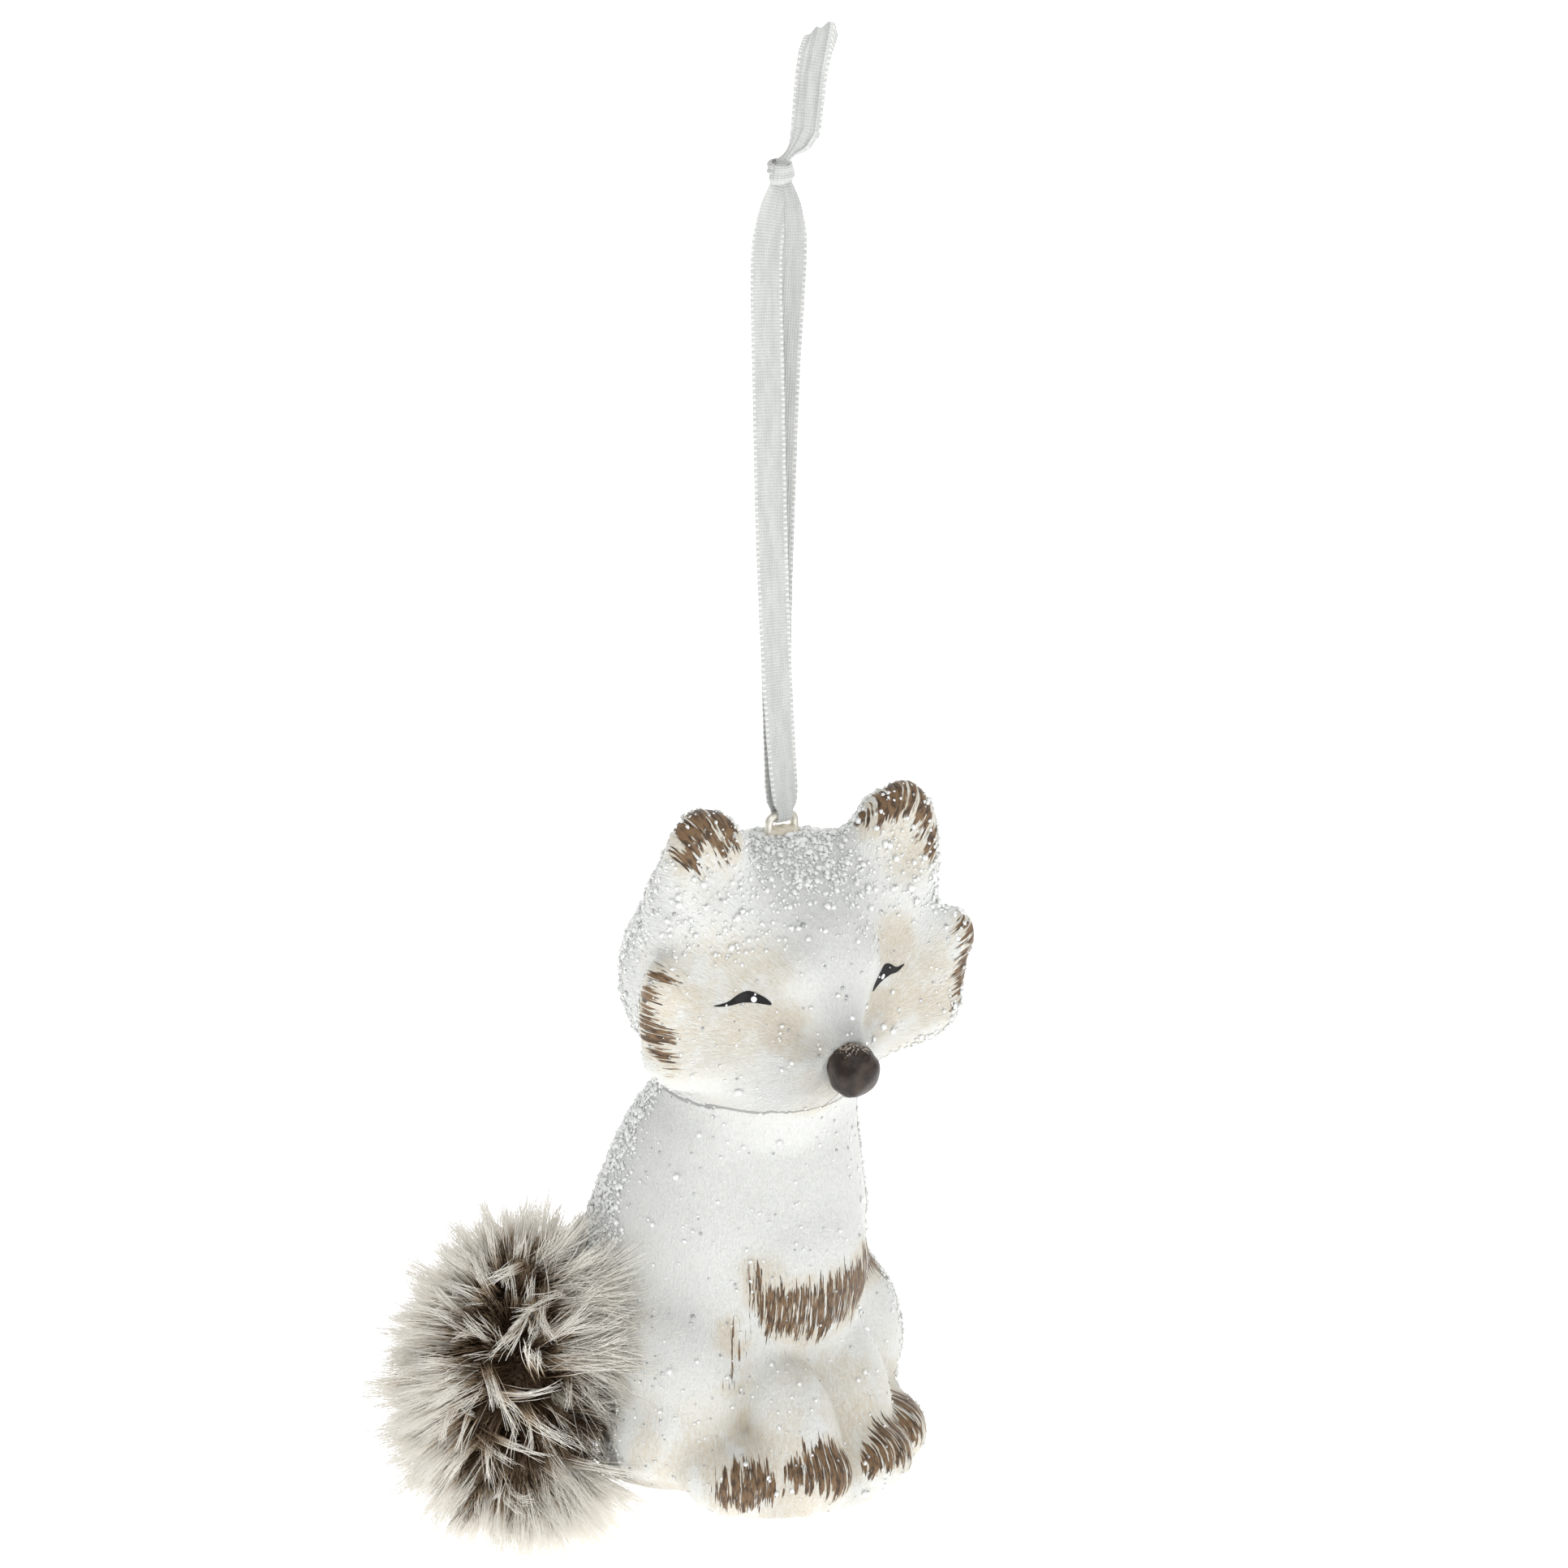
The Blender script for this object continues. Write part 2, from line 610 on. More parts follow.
def clay_finish(colours):
    """White paint with cream washes, brown dry-brushed marks and fine fibre relief."""
    clay = Finish("painted_clay", Roughness=0.6, Specular_IOR_Level=0.35)
    patches, tooth = clay.mottle(260.0, 2600.0)
    streaks, hairs = clay.brush(2.5, 0.13)
    fibre, fine_fibre = clay.brush(4.6, 0.75)
    warm, crease, brown, snow = (clay.read(name) for name in ("warm", "crease", "brown", "snow"))
    broken = clay.sum(clay.step(patches, 0.24, 0.52), clay.step(fibre, 0.3, 0.62, 0.55, 1.1))
    warmth = clay.sum(clay.sum(crease, 0.85), broken, clay.sum(warm, broken))
    tinted = clay.mix(clay.step(warmth, 0.0, 0.78), colours.white, colours.cream)
    peach = clay.sum(clay.step(warmth, 0.3, 1.0), clay.step(tooth, 0.42, 0.66))
    tinted = clay.mix(clay.sum(peach, 0.45), tinted, colours.peach)
    grit = clay.sum(snow, clay.step(tooth, 0.35, 0.6))
    tinted = clay.mix(clay.sum(grit, 0.4), tinted, (0.70, 0.715, 0.695, 1.0))
    pale = clay.mix(clay.step(fine_fibre, 0.35, 0.75, 0.0, 0.12), tinted, (0.5, 0.52, 0.51, 1.0))
    field = clay.sum(clay.off_half(streaks), 7.0, maths(clay.tree, "MINIMUM", brown, 0.9))
    painted = clay.step(clay.sum(clay.off_half(hairs), 6.5, field), 0.0, 0.5)
    tone = clay.mix(clay.step(fibre, 0.38, 0.6), colours.dark, colours.brown)
    rough = clay.sum(painted, -0.12, clay.sum(tooth, 0.25, 0.5))
    height = clay.sum(fibre, 0.9, clay.sum(fine_fibre, 0.6, clay.sum(tooth, 0.5)))
    clay.coat(clay.mix(painted, pale, tone), rough, clay.sum(painted, -0.25, height), 0.9, 0.0003)


def plain_finish(name, paint, rough, other, share, fine=2600.0, relief=0.00005, **settings):
    """One paint, mottled towards another tone, with a fine tooth."""
    plain = Finish(name, **settings)
    patches, tooth = plain.mottle(fine / 6, fine)
    mottled = plain.mix(plain.sum(plain.step(patches, 0.42, 0.68), share), paint, other)
    plain.coat(mottled, plain.sum(patches, 0.3, rough - 0.15), tooth, 0.6, relief)


def nose_finish(colours):
    """Semi-gloss dark bead with pale worn specks where the attribute says that it is worn."""
    bead = Finish("worn_nose", Specular_IOR_Level=0.32)
    patches, tooth = bead.mottle(700.0, 3200.0)
    chips = bead.step(bead.sum(bead.off_half(tooth), 2.2, bead.read("worn")), 0.62, 0.72)
    base = bead.mix(bead.step(patches, 0.35, 0.7), colours.nose, (0.055, 0.038, 0.028, 1.0))
    paint = bead.mix(chips, base, (0.42, 0.36, 0.30, 1.0))
    bead.coat(paint, bead.sum(patches, 0.35, 0.2), bead.sum(patches, 0.8, tooth), 0.5, 0.00008)


def toned_finish(name, low, high, gain, rough, **settings):
    """Grains or flakes whose colour and roughness follow a tone of their own."""
    grains = Finish(name, **settings)
    tone = grains.read("tone")
    grains.coat(grains.mix(tone, low, high), grains.sum(tone, gain, rough))


def fur_finish(colours):
    """Hair from dark root over beige to white tip."""
    hair = Finish("tail_hair", Roughness=0.62, Specular_IOR_Level=0.3)
    shade = hair.read("shade")
    low = hair.mix(hair.step(shade, 0.18, 0.5), colours.fur_root, colours.fur_middle)
    hair.coat(hair.mix(hair.step(shade, 0.36, 0.66), low, colours.fur_tip), hair.sum(shade, 0.15, 0.55))


def ribbon_finish(colours):
    """Pale satin weave on the ribbon's own map: millimetres across and along."""
    satin = Finish("satin_weave", Roughness=0.5, Sheen_Weight=0.25, Specular_IOR_Level=0.4)
    across, along, _ = add_node(satin.tree, "SeparateXYZ", in0=satin.read("flow", "Vector")).outputs
    weave = satin.sum(satin.wave(along, 21.0), 0.5, satin.sum(satin.wave(across, 26.0), 0.5))
    folds = satin.brush(1.3, 0.22)[0]
    base = satin.mix(satin.step(folds, 0.3, 0.7, 0.3, 1.0), (0.44, 0.45, 0.44, 1.0), colours.ribbon)
    base = satin.mix(satin.step(weave, -0.9, 0.9, 0.0, 0.22), base, (0.84, 0.85, 0.83, 1.0))
    edge = satin.step(maths(satin.tree, "ABSOLUTE", across), 1.2, 1.36)
    loops = satin.step(satin.wave(along, 11.0), -0.2, 0.7)
    paint = satin.mix(satin.sum(edge, loops), base, (0.78, 0.79, 0.77, 1.0))
    satin.coat(paint, satin.sum(weave, 0.08, 0.5), satin.sum(folds, 2.0, weave), 0.7, 0.00005)


class FOX_OT_finishes(bpy.types.Operator):
    """Makes the materials"""

    bl_idname = "fox.finishes"
    bl_label = "Finishes"

    def execute(self, context):
        colours = context.scene.fox_colours
        clay_finish(colours)
        nose_finish(colours)
        crystal = {"Roughness": 0.28, "Specular_IOR_Level": 0.6}
        toned_finish("snow_grain", (0.84, 0.855, 0.84, 1.0), colours.snow, 0.3, 0.18, **crystal)
        foil = (0.40, 0.41, 0.41, 1.0), (0.98, 0.99, 1.0, 1.0)
        toned_finish("glitter_flake", *foil, 0.2, 0.12, Metallic=0.5)
        fur_finish(colours)
        ribbon_finish(colours)
        dull = {"relief": 0.00003, "Specular_IOR_Level": 0.2}
        plain_finish("eye_paint", colours.eye, 0.5, (0.03, 0.03, 0.032, 1.0), 0.8, **dull)
        plain_finish("eye_glint", colours.snow, 0.5, colours.white, 0.5, relief=0.00002)
        plain_finish("painted_wire", colours.wire, 0.5, (0.40, 0.36, 0.30, 1.0), 0.6)
        plain_finish("dried_glue", colours.glue, 0.4, colours.cream, 0.8, relief=0.0001)
        plain_finish("knit_backing", colours.fur_root, 0.8, colours.dark, 0.8, fine=1400.0, relief=0.0003)
        return {"FINISHED"}


# Stage


class FOX_OT_stage(bpy.types.Operator):
    """Sets up the camera, the pale floor with its backdrop and the soft lights"""

    bl_idname = "fox.stage"
    bl_label = "Stage"

    def execute(self, context):
        camera = linked("camera", bpy.data.cameras.new("camera"))
        camera.data.angle = 2 * math.atan(FRAME_WIDTH / 2 / CAMERA_DISTANCE)
        camera.data.clip_start = 0.01
        facing = Matrix((RIGHT, UP, BACK)).transposed().to_4x4()
        camera.matrix_world = Matrix.Translation(CAMERA_PLACE) @ facing
        context.scene.camera = camera
        self.floor()
        self.lights(context.scene)
        return {"FINISHED"}

    def floor(self):
        """The floor, which bends up into the backdrop far behind the fox."""
        half, high = FLOOR_HALF, BACKDROP_HEIGHT
        mesh = bpy.data.meshes.new("stage_floor")
        corners = [(-half, -half, 0), (half, -half, 0), (half, half, 0), (-half, half, 0)]
        corners += [(half, half, high), (-half, half, high)]
        mesh.from_pydata(corners, [], [(0, 1, 2, 3), (3, 2, 4, 5)])
        floor = linked("stage_floor", mesh)
        floor.location[2] = CAD_BOX[0][2] - FLOOR_GAP
        bevel = floor.modifiers.new("sweep", "BEVEL")
        bevel.width = BACKDROP_BEND
        bevel.segments = 24
        bevel.limit_method = "ANGLE"
        floor.rotation_euler[2] = CAMERA_AZIMUTH
        apply_all(floor)
        settle(floor)
        mesh = floor.data
        mesh.polygons.foreach_set("use_smooth", [True] * len(mesh.polygons))
        finish = Finish("stage_white", Roughness=0.9, Specular_IOR_Level=0.1, Emission_Strength=0.95)
        finish.shader.inputs["Base Color"].default_value = (0.93, 0.93, 0.93, 1.0)
        finish.shader.inputs["Emission Color"].default_value = (1.0, 1.0, 1.0, 1.0)
        mesh.materials.append(finish.material)

    def lights(self, scene):
        """A white room that looks brighter than it lights, and three soft lamps."""
        world = bpy.data.worlds.new("soft_room")
        world.use_nodes = True
        room = world.node_tree.nodes["Background"].inputs
        room[0].default_value = (1.0, 1.0, 1.0, 1.0)
        seen_straight = add_node(world.node_tree, "LightPath").outputs["Is Camera Ray"]
        light = maths(world.node_tree, "MULTIPLY_ADD", seen_straight, 1 - ROOM_LIGHT, ROOM_LIGHT)
        world.node_tree.links.new(light, room[1])
        scene.world = world
        scene.view_settings.view_transform = "Standard"
        middle = on_fox((0.0, 4.0, 40.0))
        for name, side, rise, ahead, size, power in LAMPS:
            lamp = bpy.data.lights.new(name, "AREA")
            lamp.size = size
            lamp.energy = power
            offset = (side * RIGHT + ahead * BACK + np.array([0, 0, rise])) * LAMP_DISTANCE
            thing = linked(name, lamp)
            thing.location = middle + offset
            thing.rotation_euler = Vector(-offset).to_track_quat("-Z", "Y").to_euler()


# Ribbon


def strand_point(row, near_strand):
    """Millimetre place of one strand of the ribbon."""
    share, near_across, near_square, far_across, far_square, turn = row
    across, square = (near_across, near_square) if near_strand else (far_across, far_square)
    angle = math.radians(turn)
    x = (across * math.cos(angle) - square * math.sin(angle)) * RIBBON_WIDTH
    y = (across * math.sin(angle) + square * math.cos(angle)) * RIBBON_WIDTH
    return x, y, -share * LOOP_LENGTH


def route_points():
    """The loop's control points: down the near strand, under the wire and up the far strand."""
    down = [strand_point(row, True) for row in RIBBON_SHARES]
    up = [strand_point(row, False) for row in RIBBON_SHARES]
    bar = -LOOP_LENGTH
    side = [(FOLD_REACH, bar - FOLD_REACH), (FOLD_REACH, bar + 0.5), (FOLD_REACH, bar + 2.0)]
    fold = [(0, -y, z) for y, z in side[::-1]] + [(0, y, z) for y, z in side]
    into_knot = [(x * 0.5, y * 0.5, 0.9) for x, y, _ in (down[0], up[0])]
    return [into_knot[0], *down, *fold, *up[::-1], into_knot[1]]


def spline_line(name, points):
    """Points along the smooth spline of a route, in metres."""
    curve = bpy.data.curves.new(name, "CURVE")
    curve.dimensions = "3D"
    spline = curve.splines.new("NURBS")
    spline.points.add(len(points) - 1)
    for control, point in zip(spline.points, points):
        control.co = (*(np.array(point) * MM), 1.0)
    spline.order_u = 3
    spline.use_endpoint_u = True
    spline.resolution_u = 24
    thing = linked(name, curve)
    bpy.context.view_layer.update()
    mesh = bpy.data.meshes.new_from_object(thing)
    line = places_of(mesh)
    bpy.data.meshes.remove(mesh)
    bpy.data.objects.remove(thing)
    return line


def runs_of(line):
    """How far along a line each of its points lies."""
    return np.concatenate([[0.0], np.cumsum(np.linalg.norm(np.diff(line, axis=0), axis=1))])


def even(line, gap):
    """The same line with points an even gap apart."""
    run = runs_of(line)
    marks = np.linspace(0, run[-1], int(run[-1] / gap) + 1)
    return np.column_stack([np.interp(marks, run, line[:, axis]) for axis in range(3)]), marks


def table(shares, rows, column=1):
    """Values between the rows of a table."""
    rows = np.array(rows)
    return np.interp(shares, rows[:, 0], rows[:, column])


def band(line, marks, across, widths, cups, thickness, rumple=0.0, seed=1, lanes=11, folds=()):
    """Points and faces of a flat ribbon that follows a line: both sides, its edges and its two ends."""
    rng = np.random.default_rng(seed)
    count = len(line)
    along = unit(np.gradient(line, axis=0))
    across = unit(across - along * np.sum(across * along, axis=1)[:, None])
    out = np.cross(along, across)[:, None, :]
    share = np.linspace(-1, 1, lanes)
    picot = 1 + PICOT * np.sign(np.sin(marks / MM * 2 * math.pi / PICOT_PITCH + 0.4))
    wave = np.zeros((count, lanes))
    for _ in range(4):
        phase, pitch = rng.uniform(0, 6.28), rng.uniform(1.3, 2.6)
        drift = np.interp(marks, np.linspace(0, marks[-1], 9), rng.uniform(-1, 1, 9))
        wave += np.sin(share * pitch * 2.2 + phase + drift[:, None] * 1.4) * rumple / 4
    below_neck = ease(0.0, 0.2, marks / marks[-1])[:, None]
    for spot, deep, wide in folds:
        wave -= deep * MM * np.exp(-(((share - spot) / wide) ** 2)) * below_neck
    middle = line[:, None, :] + across[:, None, :] * (share * (widths * picot)[:, None] / 2)[:, :, None]
    middle += out * (cups[:, None] * (share**2 - 0.33) + wave)[:, :, None]
    half = out * thickness / 2
    places = np.concatenate([middle + half, (middle - half)[:, ::-1]], axis=1).reshape(-1, 3)
    size = 2 * lanes
    first = np.arange(count - 1)[:, None] * size
    lane = np.arange(size)
    after = (lane + 1) % size
    sides = np.stack([first + lane, first + after, first + size + after, first + size + lane], axis=2)
    lane = lane[: lanes - 1]
    mirror = size - 1 - lane
    start = np.column_stack([lane + 1, lane, mirror, mirror - 1])
    end = np.column_stack([lane, lane + 1, mirror - 1, mirror]) + (count - 1) * size
    flow_across = np.tile(np.concatenate([share, share[::-1]]), count) * np.repeat(widths, size) / 2 / MM
    flow = np.column_stack([flow_across, np.repeat(marks / MM, size), np.zeros(count * size)])
    return places, np.concatenate([sides.reshape(-1, 4), start, end]), flow


def woven(name, places, faces, flow, body=None):
    """A piece of ribbon with its weave."""
    piece = piece_of(name, places, faces, body, "satin_ribbon", "satin_weave", flow=flow)
    smooth(piece, 50)
    return piece


def ribbon_loop(sizes):
    """The loop as one ribbon that turns from the photo's side at the knot to the wire at the fox."""
    line, marks = even(spline_line("ribbon_route", route_points()), 0.0002)
    below = -line[:, 2] / MM / LOOP_LENGTH
    depth = np.clip(below, 0, 1)
    turn = np.radians(table(depth, [(row[0], row[5]) for row in RIBBON_SHARES] + [(1.0, 0.0)]))
    across = np.column_stack([np.cos(turn), np.sin(turn), np.zeros(len(line))])
    widths = table(below, LOOP_WIDTHS) * RIBBON_WIDTH * MM
    cups = np.where(marks < marks[-1] / 2, 0.30, -0.34) * MM
    cups *= np.interp(depth, [0, 0.05, 0.3, 0.7, 1.0], [0.9, 1.2, 0.9, 0.7, 0.5])
    cups = np.convolve(np.pad(cups, 40, mode="edge"), np.ones(81) / 81, "valid")
    loop = woven("ribbon_loop", *band(line, marks, across, widths, cups, sizes.ribbon, 0.10 * MM, 5))
    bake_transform(loop)
    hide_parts("ribbon_upper", "ribbon_lower")
    return loop, line, marks[-1]


def ribbon_tail(sizes):
    """The cut end above the knot: a narrow neck, pleats along it and a slanted frayed cut."""
    angle = math.radians(RIBBON_SHARES[0][5])
    side = np.array([math.cos(angle), math.sin(angle), 0.0])
    heights = np.linspace(TAIL_SHAPE[0][0], TAIL_SHAPE[-1][0], TAIL_RINGS)
    line = side * (table(heights, TAIL_SHAPE) * MM)[:, None]
    line[:, 2] = heights * MM
    widths = table(heights, TAIL_SHAPE, 2) * RIBBON_WIDTH * MM
    cups = np.full(TAIL_RINGS, 0.22 * MM)
    marks = (heights - heights[0]) * MM
    across = np.tile(side, (TAIL_RINGS, 1))
    places, faces, flow = band(
        line, marks, across, widths, cups, sizes.ribbon, 0.10 * MM, 11, TAIL_LANES, TAIL_FOLDS
    )
    ring = np.arange(len(places)) // (2 * TAIL_LANES)
    cut = table((places - line[ring]) @ side / MM, TAIL_CUT)
    places[:, 2] += np.clip((ring - 68) / 21.0, 0, 1) * cut * MM
    tail = woven("ribbon_cut_end", places, faces, flow, "ribbon_top")
    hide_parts("ribbon_tail")
    return tail


def ribbon_knot(sizes):
    """The overhand knot: a folded band that wraps the two strands one and a half times."""
    turns = np.linspace(-0.15, 1.45, 170)
    angle = turns * 2 * math.pi + 0.6
    lift = 1.25 + 0.55 * (turns - 0.65) + 0.16 * np.sin(angle)
    radius = 1.02 + 0.12 * (turns > 0.9) + 0.07 * np.sin(angle * 2.0 + 1.0) + 0.10 * turns
    line = np.column_stack([radius * 1.05 * np.cos(angle), radius * 0.82 * np.sin(angle), lift]) * MM
    tilt = np.column_stack([0.18 * np.cos(angle * 0.5), 0.1 * np.sin(angle), np.ones(len(line))])
    widths = np.interp(turns, [-0.15, 0.0, 0.6, 1.2, 1.45], [0.45, 0.62, 0.58, 0.5, 0.3]) * RIBBON_WIDTH * MM
    cups = np.full(len(line), -0.16 * MM)
    wrap = band(line, runs_of(line), tilt, widths, cups, sizes.ribbon * 1.3, 0.12 * MM, 21)
    knot = woven("ribbon_knot_wrap", *wrap, "ribbon_top")
    half_sizes = (1.02 * MM, 0.80 * MM, KNOT_HALF * MM)
    heart = ball("ribbon_knot_heart", 28, 20, 1.0, (0, 0, KNOT_RISE * MM), half_sizes)
    places = places_of(heart.data)
    spin = np.arctan2(places[:, 1], places[:, 0])
    rise = (places[:, 2] / MM - KNOT_RISE) / KNOT_HALF
    places[:, 2] = (KNOT_RISE + KNOT_HALF * np.sign(rise) * np.abs(rise) ** 0.6) * MM
    places[:, :2] *= (0.75 + 0.25 / (0.3 + np.sqrt(np.maximum(1 - rise**2, 0))))[:, None]
    places[:, :2] *= (1 + 0.06 * np.sin(spin * 5 + places[:, 2] / MM * 2.4))[:, None]
    put_places(heart.data, places)
    mark(heart.data, "flow", np.column_stack([spin * 1.1, places[:, 2] / MM * 2, np.zeros(len(places))]))
    heart.data.materials.append(bpy.data.materials["satin_weave"])
    smooth(heart)
    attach(heart, "ribbon_top")
    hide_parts("ribbon_knot")
    return knot, heart


class FOX_OT_ribbon(bpy.types.Operator):
    """Ties the ribbon: its loop, knot and cut end"""

    bl_idname = "fox.ribbon"
    bl_label = "Ribbon"

    def execute(self, context):
        sizes = context.scene.fox_sizes
        loop, line, length = ribbon_loop(sizes)
        knot, heart = ribbon_knot(sizes)
        tail = ribbon_tail(sizes)
        return {"FINISHED"}


# Casting


def modelled_clay(sizes):
    """The casting's solid as one even skin."""
    clay = linked("fox_casting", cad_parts["casting"].data.copy())
    clay.data.materials.clear()
    pick(clay)
    bpy.ops.object.mode_set(mode="EDIT")
    bpy.ops.mesh.select_all(action="SELECT")
    bpy.ops.mesh.remove_doubles(threshold=0.000001)
    bpy.ops.object.mode_set(mode="OBJECT")
    even_skin = clay.modifiers.new("even_skin", "REMESH")
    even_skin.mode = "VOXEL"
    even_skin.voxel_size = sizes.clay_step
    even_skin.use_smooth_shade = True
    apply_all(clay)
    return clay


def neck_share(fox):
    """1 at the neck and under the jaw, 0 away from them."""
    return ease(38.0, 42.0, fox[:, 2]) * fade(46.0, 49.5, fox[:, 2])


def fill_creases(clay):
    """Fills valleys between the clay's lobes as a thumb does, and leaves its swellings."""
    mesh = clay.data
    pairs = edges_of(mesh)
    places = places_of(mesh)
    degree = np.maximum(np.bincount(pairs.ravel(), minlength=len(places)), 1).astype(float)
    fox = fox_places(places)
    weight = 1 - 0.96 * near(head_places(places), NOSE_MIDDLE, SOCKET_REACH) ** 0.5
    bib_rim = ease(12.5, 14.5, fox[:, 2]) * fade(18.5, 21.0, fox[:, 2])
    bib_rim *= (fox[:, 1] < -1) * (np.abs(fox[:, 0]) < 9)
    legs = fade(14.0, 18.0, fox[:, 2]) * (fox[:, 1] < 3.0)
    weight *= (1 - 0.7 * bib_rim) * (1 - 0.55 * legs) * ease(0.1, 1.2, fox[:, 2])
    start = places.copy()
    for turn in range(90):
        if turn % 5 == 0:
            put_places(mesh, places)
            normals = normals_of(mesh)
        pull = neighbour_mean(places, pairs, degree) - places
        rise = np.sum(pull * normals, axis=1)[:, None]
        gain = np.where(rise > 0, 0.95, 0.10)
        places += weight[:, None] * (normals * rise * gain + 0.4 * (pull - normals * rise))
    neck = neck_share(fox)
    for turn in range(70):
        blur = weight * (0.5 * neck if turn > 3 else 0.5)
        places += blur[:, None] * (neighbour_mean(places, pairs, degree) - places)
    put_places(mesh, places)
    filled = np.sum((places - start) * normals_of(mesh), axis=1) / MM
    for _ in range(6):
        filled = neighbour_mean(filled[:, None], pairs, degree)[:, 0]
    return pairs, degree, filled


def carve(clay, pairs, degree):
    """Hollow ears, eye hollows, toe grooves and the fine unevenness of hand modelling."""
    mesh = clay.data
    places = places_of(mesh)
    normals = normals_of(mesh)
    head = head_places(places)
    fox = fox_places(places)
    ahead = ease(0.15, 0.7, -normals[:, 1])
    depth = np.zeros(len(places))
    for amount, (x, y, z), reach, sides, looks_ahead in HEAD_PUSHES:
        for side in sides:
            depth += amount * near(head, (side * x, y, z), reach) * (ahead if looks_ahead else 1.0)
    for foot, toe, deep, (low, high), front in TOES:
        foot_front = ease(1.0, 2.0, fox[:, 2]) * fade(low, high, fox[:, 2]) * (fox[:, 1] < front)
        for middle in (-foot - toe, -foot + toe, foot - toe, foot + toe):
            depth -= deep * foot_front * fade(0.0, 0.55, np.abs(fox[:, 0] - middle))
    depth += 3.6 * near(fox, (-5.0, -6.5, 43.2), (12.0, 10.0, 6.5)) * fade(45.5, 48.0, fox[:, 2])
    x, y = pixel_of(fox)
    temple = fade(0.0, 1.0, np.hypot((x - 815.0) / 46.0, (y - 1165.0) / 60.0))
    depth += 0.9 * temple * ease(0.0, 0.4, normals @ BACK)
    haunch = fade(0.0, 1.0, np.hypot((x - 785.0) / 90.0, (y - 1800.0) / 80.0))
    depth += 3.2 * haunch * (fox[:, 0] < -3.0) * fade(12.0, 16.0, fox[:, 2])
    for scale, amount in ((2.1, 0.10), (0.9, 0.05)):
        wave = np.sin(fox / scale + 1.3 * np.sin(np.roll(fox, 1, axis=1) / scale * 0.8 + 0.7))
        depth += amount * wave.sum(axis=1) / 3 * ease(0.1, 1.0, fox[:, 2])
    floor = places[:, 2].min()
    places += normals * (depth * MM)[:, None]
    places[:, 2] = np.maximum(places[:, 2], floor)
    neck = 0.5 * neck_share(fox) * (1 - near(head, NOSE_MIDDLE, SOCKET_REACH))
    for _ in range(120):
        places += neck[:, None] * (neighbour_mean(places, pairs, degree) - places)
    put_places(mesh, places)


def snow_cover(fox, head, normals):
    """How thick the snow grit lies: heavy on the crown, the back and the far flanks, thin on the face."""
    upper = ease(42.0, 45.0, fox[:, 2])[:, None]
    away = upper * (head[:, :2] - (0.0, 4.4)) + (1 - upper) * (fox[:, :2] - (0.0, 10.0))
    away /= np.linalg.norm(away, axis=1)[:, None] + 0.01
    facing = 0.7 * away @ np.array([-0.40, -0.92]) + 0.3 * normals[:, :2] @ np.array([-0.46, -0.88])
    crown = ease(63.0, 68.0, head[:, 2]) * ease(0.25, 0.8, normals[:, 2])
    cover = np.maximum(fade(0.12, 0.46, facing), crown)
    ear_front = sum(near(head, (side * 11.6, -4.2, 67.5), (5.0, 4.0, 7.5)) for side in BOTH)
    cover *= 1 - 0.75 * np.clip(ear_front, 0, 1) * ease(0.2, 0.6, -normals[:, 1])
    cover *= 1 - 0.55 * fade(8.0, 16.0, fox[:, 2]) * ease(-0.2, 0.3, facing)
    x, y, z = fox.T
    patchy = 0.5 + 0.5 * np.sin(x * 0.55 + 1.7 * np.sin(z * 0.31)) * np.sin(y * 0.47 + z * 0.23)
    return np.clip(cover * (0.75 + 0.35 * patchy), 0, 1)


def run_field(points, run):
    """Millimetres inside a run of round spots that are joined up, negative outside."""
    field = np.full(len(points), -50.0)
    for (first, wide), (second, slim) in zip(run, run[1:]):
        way = second - first
        share = np.clip((points - first) @ way / (way @ way), 0, 1)
        distance = np.linalg.norm(points - first - share[:, None] * way, axis=1)
        field = np.maximum(field, wide + (slim - wide) * share - distance)
    return field


def flow_of(fox, head):
    """Brush strokes: out from the nose on the face, up and down on the body."""
    reach = np.linalg.norm(head - np.array([0, -9.0, 49.0]), axis=1)
    spin = np.arctan2(head[:, 0], head[:, 2] - 49.0)
    side = np.arctan2(fox[:, 0], -(fox[:, 1] - 11.0))
    still = np.zeros(len(fox))
    face = np.column_stack([spin * 11.0, reach, still])
    body = np.column_stack([side * 13.0 + 100.0, fox[:, 2], still])
    return np.where(fox[:, 2:] > 43.0, face, body)


